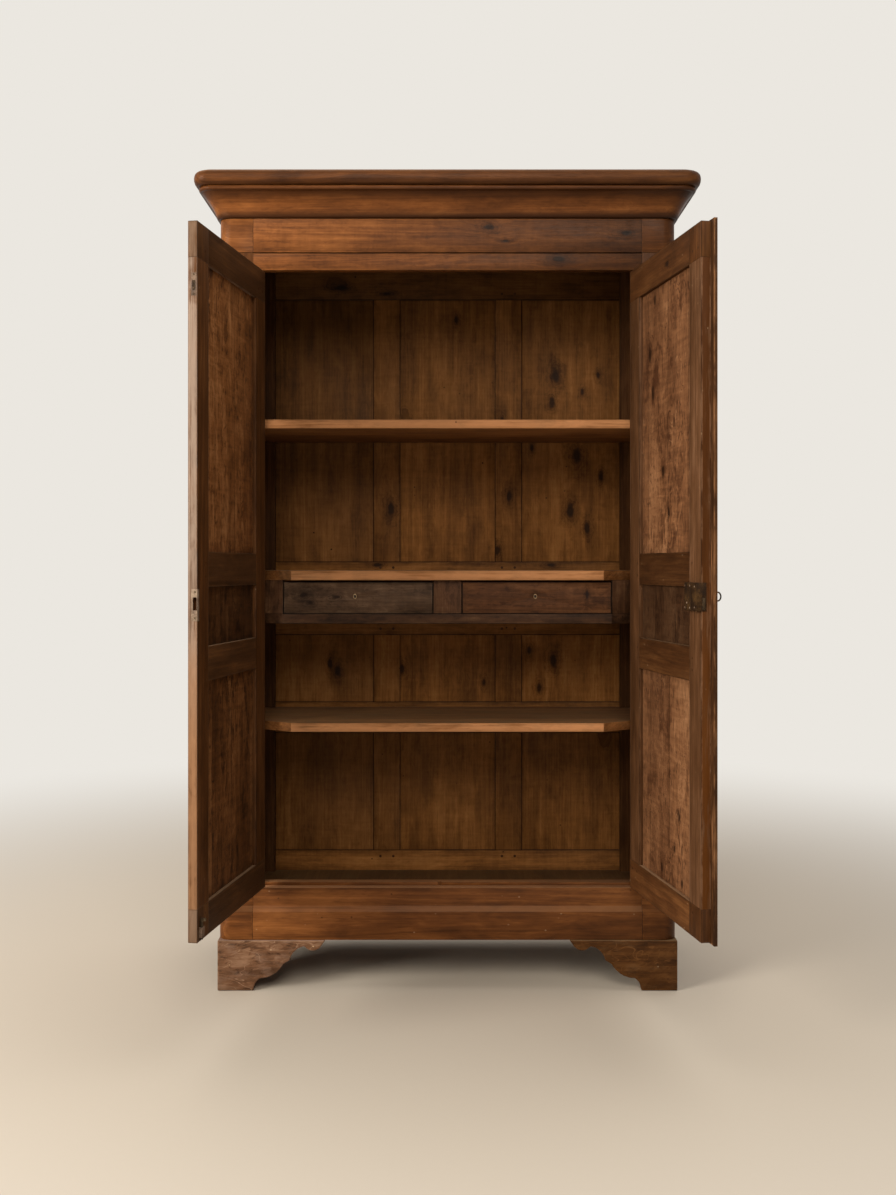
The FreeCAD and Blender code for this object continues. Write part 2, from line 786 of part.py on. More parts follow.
# Cornice: every level of it is the case's outline, standing out by its share and rounded
# at the two front corners, open at the back and hollow inside
def cornice_level(body, overhang, height, share):
    out = f"({half} + {share[0]} * {overhang})"
    face = f"({front} - {share[0]} * {overhang})"
    swell = "cornice_radius * (1 - sqrt(2) / 2)"
    outline = (
        (f"-{out}", back),
        (f"-{out}", f"{face} + cornice_radius", swell),
        (f"-{out} + cornice_radius", face),
        (f"{out} - cornice_radius", face, swell),
        (out, f"{face} + cornice_radius"),
        (out, back),
    )
    return sketch_on(body, "XY_Plane", outline, height)


def cornice_rise(body, overhang, base, height, shares):
    """One stretch of the moulding, drawn smoothly through its levels."""
    levels = [
        cornice_level(body, overhang, f"{base} + {share[1]} * {height}", share)
        for share in shares
    ]
    rise = body.newObject("PartDesign::AdditiveLoft", body.Name + "_rise")
    rise.Profile = levels[0]
    rise.Sections = levels[1:]


cornice_room = (f"-{seat}", seat), (top_face, f"{back} + overrun")
bead_level = f"({case_top} + cyma_height)"
cap_level = f"({bead_level} + bead_height)"
cornice_top = f"({cap_level} + cap_height)"
moulding = doc.addObject("PartDesign::Body", "moulding")
cornice_rise(moulding, "cornice_overhang", case_top, "cyma_height", toe_shares)
cornice_rise(moulding, "cornice_overhang", case_top, "cyma_height", hollow_shares)
cornice_rise(moulding, "cornice_overhang", bead_level, "bead_height", bead_shares)
cap = doc.addObject("PartDesign::Body", "cap")
cornice_rise(cap, "cap_overhang", cap_level, "cap_height", cap_shares)

cornice_split = f"({front} + cornice_front_depth)"
cornice_width = past(f"-({half} + cap_overhang)", f"{half} + cap_overhang")
cornice_height = past(case_top, cornice_top)
behind = (cornice_split, f"{back} + overrun")
before = (f"{front} - cap_overhang - overrun", cornice_split)
keep("cornice_front", without("moulding_front", moulding, [
    block("moulding_room", *cornice_room, cornice_height),
    block("moulding_behind", cornice_width, behind, cornice_height),
]))
keep("cornice_returns", without("moulding_returns", moulding, [
    block("returns_room", *cornice_room, cornice_height),
    block("returns_before", cornice_width, before, cornice_height),
]))
keep("cornice_cap", without("cap_hollow", cap, [block("cap_room", *cornice_room, cornice_height)]))


# Bracket feet: a scrolled board across the front and one along the side, with a block behind
def foot_outline(length):
    scroll = [
        (f"{along} * {length}", f"{up} * foot_height", f"{swell} * foot_height")
        for along, up, swell in foot_scroll_shares
    ]
    return [("0", "0")] + scroll + [("0", "foot_height")]


foot_face = f"{front} - plinth_step - foot_proud"
foot_rear = f"({foot_face} + foot_thickness)"
foot_edge = f"{half} + foot_side_proud"
front_foot = plate("front_foot", "XZ_Plane", foot_outline("foot_length"), "foot_thickness")
place(front_foot, f"-({foot_edge})", foot_face)
keep("left_front_foot", front_foot)
keep("right_front_foot", mirrored("front_foot_mirror", front_foot))
side_foot = plate("side_foot", "YZ_Plane", foot_outline("side_foot_length"), "foot_thickness")
place(side_foot, f"-({foot_edge})", foot_rear)
keep("foot_side_brackets", group("side_foot_group", [
    side_foot, mirrored("side_foot_mirror", side_foot)
]))
block_edge = f"({foot_edge} - foot_thickness)"
foot_block = block("foot_block", (f"-{block_edge}", f"-{block_edge} + foot_block"),
                   (foot_rear, f"{foot_rear} + foot_block"), ("0", "foot_height"))
keep("foot_blocks", group("foot_block_group", [
    foot_block, mirrored("foot_block_mirror", foot_block)
]))

# Drawer frame: a rail with canted ends, a divider, two canted stiles and the runners
rail_top = "(drawer_rail_level + drawer_rail_height)"
rail_face = f"({front} + drawer_setback)"
rail_rear = f"({rail_face} + drawer_rail_depth)"
rail_cant = f"({cant_start} + (drawer_setback - shelf_setback) / ({cant_slope}))"
rail_outline = (
    (f"-{shelf_half}", rail_rear),
    (f"-{shelf_half}", cant_back),
    (f"-{rail_cant}", rail_face),
    (rail_cant, rail_face),
    (shelf_half, cant_back),
    (shelf_half, rail_rear),
)
drawer_rail = plate("drawer_rail", "XY_Plane", rail_outline, "drawer_rail_height")
keep("drawer_frame_rail", place(drawer_rail, z="drawer_rail_level"))

stile_height = f"drawer_top_level - {rail_top}"
stile_outline = (
    (rail_cant, rail_face),
    (shelf_half, cant_back),
    (shelf_half, f"{cant_back} + drawer_front_thickness"),
    (rail_cant, f"{rail_face} + drawer_front_thickness"),
)
side_stile = place(plate("side_stile", "XY_Plane", stile_outline, stile_height), z=rail_top)
divider = block("divider", ("-divider_width / 2", "divider_width / 2"),
                (rail_face, f"{rail_face} + divider_depth"), (rail_top, "drawer_top_level"))
keep("drawer_frame_stiles", group("drawer_stile_group", [
    divider, side_stile, mirrored("side_stile_mirror", side_stile)
]))

drawer_x = ("divider_width / 2 + drawer_gap", f"{rail_cant} - drawer_gap")
runner_y = (rail_rear, back_face)
guide_y = (f"{rail_face} + divider_depth", back_face)
under_run = (f"{rail_top} - runner_height", rail_top)
guide_rise = (rail_top, f"{rail_top} + guide_height")
outer_runner = joined("outer_runner", [
    block("outer_ledge", (f"{rail_cant} - runner_width / 2", f"{rail_cant} + runner_width / 2"),
          runner_y, under_run),
    block("outer_guide", (rail_cant, f"{rail_cant} + runner_width / 2"), runner_y, guide_rise),
])
centre_runner = joined("centre_runner", [
    block("centre_ledge", ("-divider_width / 2 - runner_width / 2",
                           "divider_width / 2 + runner_width / 2"), runner_y, under_run),
    block("centre_guide", ("-divider_width / 2", "divider_width / 2"), guide_y, guide_rise),
])
keep("drawer_runners", group("runner_group", [
    centre_runner, outer_runner, mirrored("outer_runner_mirror", outer_runner)
]))

# The right drawer; the left one is its mirror image but for the place of its keyhole
drawer_foot = f"({rail_top} + drawer_play)"
front_y = (rail_face, f"{rail_face} + drawer_front_thickness")
box_face = f"({rail_face} + drawer_front_thickness)"
box_rear = f"({back_face} - drawer_back_gap)"
front_z = (drawer_foot, f"{drawer_foot} + drawer_front_height")
side_z = (drawer_foot, f"{drawer_foot} + drawer_side_height")
bottom_z = (f"{drawer_foot} + drawer_bottom_lift",
            f"{drawer_foot} + drawer_bottom_lift + drawer_bottom_thickness")
inner_x = narrower(drawer_x, "drawer_side_thickness")
bottom_groove = block("drawer_bottom_groove", wider(inner_x, "drawer_groove"),
                      (f"{box_face} - drawer_groove", f"{box_rear} - drawer_side_thickness"),
                      bottom_z)
lining_z = f"({drawer_foot} + {drawer_keyhole_share} * drawer_front_height)"
lining_run = (f"{rail_face} - overrun", f"{rail_face} + lining_depth + overrun")


def drawer_face(name, share):
    """A drawer front with its bored keyhole lining at a share of its width."""
    lining_x = f"({drawer_x[0]} + {share} * (({drawer_x[1]}) - ({drawer_x[0]})))"
    board = without(name + "_bored_front", block(name + "_drawer_face", drawer_x, front_y, front_z), [
        bottom_groove,
        rod(name + "_lining_hole", "lining_radius", "lining_depth + overrun", lining_x,
            f"{rail_face} - overrun", lining_z, lying=True),
    ])
    lining = without(
        name + "_lining",
        rod(name + "_lining_disc", "lining_radius", "lining_depth", lining_x, rail_face, lining_z,
            lying=True),
        [
            rod(name + "_keyhole", "drawer_keyhole_radius", "lining_depth + 2 * overrun", lining_x,
                lining_run[0], lining_z, lying=True),
            block(name + "_slot", (f"{lining_x} - drawer_keyhole_slot / 2",
                                   f"{lining_x} + drawer_keyhole_slot / 2"), lining_run,
                  (f"{lining_z} - drawer_keyhole_drop", lining_z)),
        ],
    )
    return board, lining


right_face, right_lining = drawer_face("right", keyhole_across_shares["right"])
left_face, left_lining = drawer_face("left", keyhole_across_shares["left"])
keep("right_drawer_front", right_face)
keep("right_drawer_keyhole", right_lining)
keep("left_drawer_front", mirrored("left_face_mirror", left_face))
keep("left_drawer_keyhole", mirrored("left_lining_mirror", left_lining))
drawer_box = group("drawer_box", [
    without("drawer_side_inner",
            block("drawer_inner_board", (drawer_x[0], inner_x[0]), (box_face, box_rear), side_z),
            [bottom_groove]),
    without("drawer_side_outer",
            block("drawer_outer_board", (inner_x[1], drawer_x[1]), (box_face, box_rear), side_z),
            [bottom_groove]),
    block("drawer_back_board", inner_x, (f"{box_rear} - drawer_side_thickness", box_rear), side_z),
])
drawer_bottom = block("drawer_bottom", wider(inner_x, "drawer_groove"),
                      (f"{box_face} - drawer_groove", f"{box_rear} - drawer_side_thickness"),
                      bottom_z)
for label, piece in (("drawer_box", drawer_box), ("drawer_bottom", drawer_bottom)):
    keep("right_" + label, piece)
    keep("left_" + label, mirrored(label + "_mirror", piece))

# Doors, drawn shut on the left side; the right door's frame is the mirror image of this one
door_edge = f"(-{post_inner} + door_side_gap)"
door_free = "(-meeting_gap / 2)"
door_y = (door_face, door_rear)
door_groove = wider(door_tongue, "tongue_play")
hinge_inner = f"({door_edge} + hinge_stile)"
meeting_inner = f"({door_free} - meeting_stile)"
lower_panel = (f"{door_low} + door_bottom_rail", f"{door_low} + door_bottom_rail + door_lower_panel")
low_mid = (lower_panel[1], f"{lower_panel[1]} + door_low_mid_rail")
middle_panel = (low_mid[1], f"{low_mid[1]} + door_middle_panel")
high_mid = (middle_panel[1], f"{middle_panel[1]} + door_high_mid_rail")
upper_panel = (high_mid[1], f"{door_high} - door_top_rail")
stile_z = (lower_panel[0], upper_panel[1])
key_level = f"({high_mid[0]} - key_drop)"


def door_stile(name, run, groove, mortise):
    """A stile between the end rails: tenons at both ends, a groove and mortises inside."""
    board = block(name + "_board", run, door_y, stile_z)
    tenon = block(name + "_tenon", narrower(run), door_tongue, wider(stile_z, "tenon_length"))
    cuts = [block(name + "_groove", groove, door_groove, past(*stile_z))]
    for number, rail in enumerate((low_mid, high_mid)):
        cuts.append(block(f"{name}_mortise_{number}", mortise, door_groove,
                          wider(narrower(rail), "tenon_play")))
    return without(name, joined(name + "_joined", [board, tenon]), cuts)


hinge_stile = door_stile(
    "hinge_stile_blank", (door_edge, hinge_inner),
    (f"{hinge_inner} - groove_depth", f"{hinge_inner} + overrun"),
    (f"{hinge_inner} - tenon_length - tenon_play", f"{hinge_inner} + overrun"),
)
meeting_stile = door_stile(
    "meeting_stile_blank", (meeting_inner, door_free),
    (f"{meeting_inner} - overrun", f"{meeting_inner} + groove_depth"),
    (f"{meeting_inner} - overrun", f"{meeting_inner} + tenon_length + tenon_play"),
)
stile_mortises = [
    block(f"{name}_end_mortises", wider(narrower(run), "tenon_play"), door_groove,
          wider(stile_z, "(tenon_length + tenon_play)"))
    for name, run in (("hinge", (door_edge, hinge_inner)), ("meeting", (meeting_inner, door_free)))
]
panel_run = (hinge_inner, meeting_inner)
end_groove = block("end_rail_grooves", wider(panel_run, "groove_depth"), door_groove,
                   wider(stile_z, "groove_depth"))
bottom_rail = without("bottom_rail", block("bottom_rail_board", (door_edge, door_free), door_y,
                                           (door_low, lower_panel[0])),
                      stile_mortises + [end_groove])
top_rail = without("top_rail", block("top_rail_board", (door_edge, door_free), door_y,
                                     (upper_panel[1], door_high)),
                   stile_mortises + [end_groove])
mid_rails = []
for name, rail in (("low_mid", low_mid), ("high_mid", high_mid)):
    bar = joined(name + "_joined", [
        block(name + "_board", panel_run, door_y, rail),
        block(name + "_tenons", wider(panel_run, "tenon_length"), door_tongue, narrower(rail)),
    ])
    mid_rails.append(without(name + "_rail", bar, [
        block(name + "_groove_under", past(*panel_run), door_groove,
              (f"{rail[0]} - overrun", f"{rail[0]} + groove_depth")),
        block(name + "_groove_over", past(*panel_run), door_groove,
              (f"{rail[1]} - groove_depth", f"{rail[1]} + overrun")),
    ]))
door_panels = []
for name, opening in (("lower", lower_panel), ("middle", middle_panel), ("upper", upper_panel)):
    tongue = block(f"{name}_panel_tongue", wider(panel_run, tongue_reach), door_tongue,
                   wider(opening, tongue_reach))
    field = fielded(f"{name}_panel_field", panel_run, opening)
    place(field, panel_run[0], f"{door_tongue[0]} - field_rise", opening[0])
    door_panels.append(joined(f"{name}_panel", [tongue, field]))


def hang_left(label, pieces):
    """Turns shut pieces out to where the left door stands, about its hinge pins."""
    return hang(label, pieces, "-left_open_angle", f"-{post_inner} + hinge_offset")


def hang_right(label, pieces):
    return hang(label, pieces, "right_open_angle", f"{post_inner} - hinge_offset")


def hang(label, pieces, degrees, axis_x):
    door_piece = group(label + "_hung", pieces)
    axis = f"vector({bound(axis_x)}; {bound(front)} - {bound('hinge_stand')}; 0)"
    turn = f"rotation(vector(0; 0; 1); {bound(degrees)})"
    door_piece.setExpression("Placement", f"placement(vector(0; 0; 0); {turn}; {axis})")
    return keep(label, door_piece)


# Small bolts of the left door: one slides up inside its edge, one down on its inner face
edge_plate_x = (f"{door_free} - edge_plate_thickness", door_free)
edge_plate_y = (f"{front} + edge_plate_set", f"{front} + edge_plate_set + edge_plate_width")
edge_plate_low = f"({door_high} - edge_plate_drop)"
edge_plate_z = (edge_plate_low, f"{edge_plate_low} + edge_plate_height")
rod_low = f"({edge_plate_low} + rod_foot)"
thumb_z = (rod_low, f"{rod_low} + thumb_height")
rod_channel = block("rod_channel", wider(rod_x, "rod_play"), wider(rod_y, "rod_play"),
                    (f"{rod_low} - rod_play", f"{door_high} + overrun"))
thumb_x = (rod_x[1], f"{door_free} - rod_play")
edge_bolt = joined("edge_bolt_whole", [
    block("edge_rod", rod_x, rod_y, (rod_low, door_high)),
    block("edge_thumb", thumb_x, rod_y, thumb_z),
])
edge_plate_board = block("edge_plate_board", edge_plate_x, edge_plate_y, edge_plate_z)
edge_plate = without("edge_plate", edge_plate_board, [
    block("edge_slot", past(*edge_plate_x), wider(rod_y, "rod_play"),
          (f"{thumb_z[0]} - rod_play", f"{thumb_z[1]} + edge_bolt_travel + rod_play"))
])
keeper_x = (f"{door_free} - keeper_edge - keeper_width", f"{door_free} - keeper_edge")
keeper_z = (f"{door_low} + keeper_lift", f"{door_low} + keeper_lift + keeper_height")
foot_rod_z = (f"{door_low} + foot_bolt_lift", f"{door_low} + foot_bolt_lift + foot_bolt_length")
foot_bolt = joined("foot_bolt_whole", [
    block("foot_rod", foot_rod_x, foot_rod_y, foot_rod_z),
    block("foot_thumb", foot_rod_x, (foot_rod_y[0], f"{door_rear} + keeper_thickness + rod_width"),
          (f"{foot_rod_z[1]} - thumb_height", foot_rod_z[1])),
])
keeper = without("keeper", block("keeper_board", keeper_x,
                                 (door_rear, f"{door_rear} + keeper_thickness"), keeper_z), [
    block("keeper_channel", wider(foot_rod_x, "rod_play"), wider(foot_rod_y, "rod_play"),
          past(*keeper_z))
])

# The strike on the left door's edge takes the lock's bolt
lock_bolt_y = (f"{front} + bolt_set - bolt_thickness / 2", f"{front} + bolt_set + bolt_thickness / 2")
lock_bolt_z = (f"{key_level} - bolt_drop", f"{key_level} - bolt_drop + bolt_height")
strike_z = (f"{key_level} - strike_drop", f"{key_level} - strike_drop + strike_height")
strike_bed = [
    block("strike_edge_bed", (f"{door_free} - strike_thickness", f"{door_free}"),
          (f"{front} + strike_set", door_rear), strike_z),
    block("strike_wrap_bed", (f"{door_free} - strike_wrap", f"{door_free}"),
          (f"{door_rear} - strike_thickness", door_rear), strike_z),
]
strike_slot = block("strike_slot", (f"{door_free} - slot_depth", f"{door_free} + overrun"),
                    wider(lock_bolt_y, "slot_play"), wider(lock_bolt_z, "slot_play"))
strike = without("strike", joined("strike_bent", strike_bed), [strike_slot])

edge_run = past(door_low, door_high)
edge_round = without("edge_round", block("edge_corner", (f"{door_free} - door_edge_round",
                                                         f"{door_free} + overrun"),
                                         (f"{door_face} - overrun",
                                          f"{door_face} + door_edge_round"), edge_run), [
    rod("edge_bead", "door_edge_round", f"{edge_run[1]} - ({edge_run[0]})",
        f"{door_free} - door_edge_round", f"{door_face} + door_edge_round", edge_run[0])
])
hang_left("left_door_hinge_stile", [hinge_stile])
left_meeting = without("left_meeting", meeting_stile,
                       strike_bed + [strike_slot, edge_plate_board, rod_channel, edge_round])
hang_left("left_door_meeting_stile", [left_meeting])
left_top_rail = without("left_top_rail", top_rail, [rod_channel, edge_round])
left_bottom_rail = without("left_bottom_rail", bottom_rail, [edge_round])
hang_left("left_door_rails", [left_bottom_rail, left_top_rail] + mid_rails)
hang_left("left_door_panels", door_panels)
hang_left("strike_plate", [strike])
hang_left("door_bolt_plates", [edge_plate, keeper])
hang_left("edge_bolt", [edge_bolt])
hang_left("foot_bolt", [foot_bolt])

# The lock is let into the right door's inner face, and its bolt slides towards the strike
free_edge = "(meeting_gap / 2)"
key_x = f"({free_edge} + key_inset)"
lock_x = (f"{free_edge} - lock_wall", f"{free_edge} + lock_width")
lock_y = (f"{door_rear} - lock_sunk", f"{door_rear} + lock_proud")
lock_z = (f"{key_level} - lock_height / 2", f"{key_level} + lock_height / 2")
lock_bed_x = (f"{free_edge} - lock_wall", f"{free_edge} + lock_bed_width")
keyhole = [
    rod("keyhole_round", "keyhole_radius", "door_thickness", key_x,
        f"{door_face} - escutcheon_thickness - overrun", key_level, lying=True),
    block("keyhole_slot", (f"{key_x} - keyhole_slot / 2", f"{key_x} + keyhole_slot / 2"),
          (f"{door_face} - escutcheon_thickness - overrun", f"{lock_y[0]} + lock_wall + overrun"),
          (f"{key_level} - keyhole_drop", key_level)),
]
case_bolt_hole = block("case_bolt_hole", (f"{lock_x[0]} - overrun", f"{lock_x[0]} + 2 * lock_wall"),
                       wider(lock_bolt_y, "bolt_play"), wider(lock_bolt_z, "bolt_play"))
lock_block = joined("lock_block", [
    block("lock_sunk_part", lock_bed_x, lock_y, lock_z),
    block("lock_proud_part", lock_x, (door_rear, lock_y[1]), lock_z),
])
lock_case = without("lock_box", lock_block, keyhole[1:] + [
    block("lock_hollow", narrower(lock_bed_x, "lock_wall"), narrower(lock_y, "lock_wall"),
          narrower(lock_z, "lock_wall")),
    rod("case_keyhole", "keyhole_radius", "2 * lock_wall", key_x, f"{lock_y[0]} - lock_wall / 2",
        key_level, lying=True),
    rod("key_bearing", "shank_radius + pin_play", "2 * lock_wall", key_x,
        f"{lock_y[1]} - 3 * lock_wall / 2", key_level, lying=True),
    case_bolt_hole,
])
lock_bolt = block("bolt_block", (lock_x[0], f"{lock_x[0]} + bolt_length"), lock_bolt_y, lock_bolt_z)

# The key: an oval bow, a collar, a round shank and a bit inside the lock
shank_start = f"({door_face} - shank_proud)"
bow_middle = f"({shank_start} - bow_width / 2 + bow_thickness)"
oval = doc.addObject("Part::Ellipse", "bow_line")
oval.setExpression("MajorRadius", bound("(bow_height - bow_thickness) / 2"))
oval.setExpression("MinorRadius", bound("(bow_width - bow_thickness) / 2"))
section = doc.addObject("Part::Circle", "bow_section")
section.setExpression("Radius", bound("bow_thickness / 2"))
section.setExpression("Placement.Base.x", bound("(bow_height - bow_thickness) / 2"))
section.Placement.Rotation = FreeCAD.Rotation(FreeCAD.Vector(1, 0, 0), 90)
bow = doc.addObject("Part::Sweep", "bow")
bow.Sections = [section]
bow.Spine = (oval, ["Edge1"])
bow.Solid = True
bow.Frenet = True
bow.Placement.Rotation = FreeCAD.Rotation(FreeCAD.Vector(0, 1, 0), -90)
place(bow, key_x, bow_middle, key_level)
key = joined("key_whole", [
    bow,
    rod("shank", "shank_radius", f"{lock_y[1]} - {shank_start}", key_x, shank_start, key_level,
        lying=True),
    rod("collar", "shank_radius + bow_thickness / 3", "bow_thickness", key_x,
        f"{shank_start} + bow_thickness", key_level, lying=True),
    block("bit", (f"{key_x} - bit_thickness / 2", f"{key_x} + bit_thickness / 2"),
          (f"{lock_y[0]} + lock_wall + bit_clear", f"{lock_y[0]} + lock_wall + bit_clear + bit_width"),
          (f"{key_level} - bit_drop", key_level)),
])

shoulder = "(escutcheon_height / 2 - escutcheon_crown)"
side_x = "(escutcheon_width / 2)"
escutcheon_outline = (
    (f"-{side_x}", f"-{shoulder}", "escutcheon_crown"),
    (side_x, f"-{shoulder}"),
    (side_x, shoulder, "escutcheon_crown"),
    (f"-{side_x}", shoulder),
)
escutcheon_plate = plate("escutcheon_plate", "XZ_Plane", escutcheon_outline, "escutcheon_thickness")
place(escutcheon_plate, key_x, f"{door_face} - escutcheon_thickness", f"{key_level} - keyhole_drop / 2")

# The strip on the right door laps the left one, with room behind it
strip_x = (f"{free_edge} - meeting_gap - astragal_lap",
           f"{free_edge} - meeting_gap - astragal_lap + astragal_width")
strip_outline = (
    (strip_x[0], door_face),
    (strip_x[0], f"{door_face} - astragal_thickness + astragal_round", "astragal_round / 2"),
    (strip_x[1], f"{door_face} - astragal_thickness + astragal_round"),
    (strip_x[1], door_face),
)
strip = plate("strip", "XY_Plane", strip_outline,
              f"{door_high} - {door_low} + 2 * astragal_end")
place(strip, z=f"{door_low} - astragal_end")
strip_relief = block("strip_relief", (f"{strip_x[0]} - overrun", free_edge),
                     (f"{door_face} - astragal_play", f"{door_face} + overrun"),
                     past(f"{door_low} - astragal_end", f"{door_high} + astragal_end"))
lock_bed = block("lock_bed", (lock_bed_x[0], lock_bed_x[1]), (lock_y[0], f"{door_rear} + overrun"),
                 lock_z)

hang_right("right_door_hinge_stile", [mirrored("right_hinge_stile", hinge_stile)])
right_meeting = without("right_meeting", mirrored("right_meeting_blank", meeting_stile),
                        [lock_bed] + keyhole)
hang_right("right_door_meeting_stile", [right_meeting])
hang_right("right_door_rails", [
    mirrored(f"right_{rail.Name}", rail) for rail in [bottom_rail, top_rail] + mid_rails
])
hang_right("right_door_panels", [mirrored(f"right_{panel.Name}", panel) for panel in door_panels])
hang_right("door_astragal", [without("astragal", strip, [strip_relief])])
hang_right("lock_case", [lock_case])
hang_right("lock_bolt", [lock_bolt])
hang_right("door_key", [key])
hang_right("key_escutcheon", [without("escutcheon", escutcheon_plate, keyhole)])

# Hinges: the lower knuckle with its pin belongs to the post, the upper one to the door
hinge_x = f"(-{post_inner} + hinge_offset)"
hinge_y = f"({front} - hinge_stand)"
leaf_y = (f"{hinge_y} + pin_radius", f"{front} + leaf_reach")
door_height = f"({door_high} - {door_low})"
frame_leaves = []
door_leaves = []
for number, share in enumerate(hinge_height_shares):
    level = f"({door_low} + {share} * {door_height})"
    low = f"({level} - knuckle_height)"
    high = f"({level} + knuckle_height)"
    frame_leaves.append(joined(f"frame_leaf_{number}", [
        rod(f"frame_knuckle_{number}", "knuckle_radius", "knuckle_height", hinge_x, hinge_y, low),
        rod(f"hinge_pin_{number}", "pin_radius", "pin_height", hinge_x, hinge_y, level),
        rod(f"frame_neck_{number}", "finial_neck", "finial_neck", hinge_x, hinge_y,
            f"{low} - finial_neck"),
        ball(f"frame_finial_{number}", "finial_radius", hinge_x, hinge_y,
             f"{low} - finial_neck - finial_radius / 2"),
        block(f"frame_plate_{number}", (f"-{post_inner}", f"-{post_inner} + leaf_thickness"),
              leaf_y, (low, level)),
    ]))
    door_knuckle = without(f"door_knuckle_{number}", rod(
        f"door_barrel_{number}", "knuckle_radius", "knuckle_height - hinge_play", hinge_x, hinge_y,
        f"{level} + hinge_play",
    ), [rod(f"door_bore_{number}", "pin_radius + pin_play", "pin_height + hinge_play", hinge_x,
            hinge_y, level)])
    door_plate = without(f"door_plate_{number}", block(
        f"door_leaf_board_{number}", (f"{door_edge} - leaf_thickness", door_edge), leaf_y,
        (f"{level} + hinge_play", high),
    ), [rod(f"door_plate_bore_{number}", "pin_radius + pin_play", "pin_height + hinge_play",
            hinge_x, hinge_y, level)])
    door_leaves.append(joined(f"door_leaf_{number}", [
        door_knuckle,
        door_plate,
        rod(f"door_neck_{number}", "finial_neck", "finial_neck", hinge_x, hinge_y, high),
        ball(f"door_finial_{number}", "finial_radius", hinge_x, hinge_y,
             f"{high} + finial_neck + finial_radius / 2"),
    ]))
keep("frame_hinge_leaves", group("frame_leaf_group", frame_leaves + [
    mirrored(f"right_{leaf.Name}", leaf) for leaf in frame_leaves
]))
hang_left("left_door_hinge_leaves", door_leaves)
hang_right("right_door_hinge_leaves", [mirrored(f"right_{leaf.Name}", leaf) for leaf in door_leaves])

doc.recompute()

for item in doc.Objects:
    if any(word in item.State for word in ("Invalid", "Error")):
        raise RuntimeError(f"{item.Label} did not recompute: {item.State}")
for subpart in subparts:
    if subpart.Shape.isNull() or not subpart.Shape.isValid() or not subpart.Shape.Solids:
        raise RuntimeError(f"{subpart.Label} has no valid solid")

os.makedirs("parts", exist_ok=True)
for subpart in subparts:
    subpart.Shape.exportStep(f"parts/{subpart.Label}.step")
print(f"{len(subparts)} sub-parts written")
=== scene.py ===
import json
import math
import random
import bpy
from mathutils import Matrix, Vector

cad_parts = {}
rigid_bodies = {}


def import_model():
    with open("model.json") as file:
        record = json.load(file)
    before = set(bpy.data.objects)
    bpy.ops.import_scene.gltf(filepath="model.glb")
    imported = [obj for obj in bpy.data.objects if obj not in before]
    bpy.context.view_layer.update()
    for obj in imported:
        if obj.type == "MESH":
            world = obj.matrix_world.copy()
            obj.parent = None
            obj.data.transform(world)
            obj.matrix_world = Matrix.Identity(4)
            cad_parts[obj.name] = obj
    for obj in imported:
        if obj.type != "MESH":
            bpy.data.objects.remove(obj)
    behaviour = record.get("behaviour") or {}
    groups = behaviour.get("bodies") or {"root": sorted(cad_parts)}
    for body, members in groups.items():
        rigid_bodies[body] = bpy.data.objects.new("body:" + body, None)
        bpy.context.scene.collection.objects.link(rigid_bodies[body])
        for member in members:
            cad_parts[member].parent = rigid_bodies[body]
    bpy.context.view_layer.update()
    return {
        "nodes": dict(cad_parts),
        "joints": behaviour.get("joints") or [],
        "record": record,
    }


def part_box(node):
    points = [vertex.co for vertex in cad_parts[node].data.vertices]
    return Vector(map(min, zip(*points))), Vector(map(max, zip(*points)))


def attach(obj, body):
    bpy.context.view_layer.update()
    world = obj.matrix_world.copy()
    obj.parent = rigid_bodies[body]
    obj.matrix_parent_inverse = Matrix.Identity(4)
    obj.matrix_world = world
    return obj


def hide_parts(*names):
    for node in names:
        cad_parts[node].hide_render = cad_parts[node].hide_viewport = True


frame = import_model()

from types import SimpleNamespace

import bmesh
import bpy
from mathutils import Matrix, Vector

# The finish of an old country wardrobe that stands open before a pale ground. Every board is
# a copy of its solid with eased edges, and carries its own grain, so a door's wood turns
# with the door.

RECORD = frame["record"]
SLOTS = {part["node"]: part["material_slot"] for part in RECORD["subparts"]}
BODIES = {node: body for body, nodes in RECORD["behaviour"]["bodies"].items() for node in nodes}
JOINTS = {joint["child"]: joint for joint in frame["joints"]}
DOORS = ("left_door", "right_door")
DRAW = random.Random(1860)


def hung(door):
    """Turns a shut door's place to where the door stands open; it is shut at its lower limit."""
    hinge = JOINTS[door]
    pin = Matrix.Translation((hinge["pos_m"][0], hinge["pos_m"][1], 0))
    opened = -hinge["range_deg"][0] * hinge["axis"][2]
    return pin @ Matrix.Rotation(math.radians(opened), 4, "Z") @ pin.inverted()


def stance(body):
    """How a body stands at rest, from where it is when the doors are shut."""
    while body in JOINTS:
        if body in DOORS:
            return hung(body)
        body = JOINTS[body]["parent"]
    return Matrix.Identity(4)


def shut_box(node):
    """A node's lowest and highest corners when the doors are shut."""
    shut = stance(BODIES[node]).inverted()
    spots = [shut @ vertex.co for vertex in frame["nodes"][node].data.vertices]
    return [Vector(map(pick, zip(*spots))) for pick in (min, max)]


# Finishes

def tint(red, green, blue):
    """A colour as a paint chart gives it, 0 to 255, made ready for the shader."""
    def plain(part):
        part /= 255
        return part / 12.92 if part <= 0.04045 else ((part + 0.055) / 1.055) ** 2.4
    return (plain(red), plain(green), plain(blue), 1)


def darker(colour, share):
    """A colour with only a share of its brightness."""
    return tuple(part * share for part in colour[:3]) + (1,)


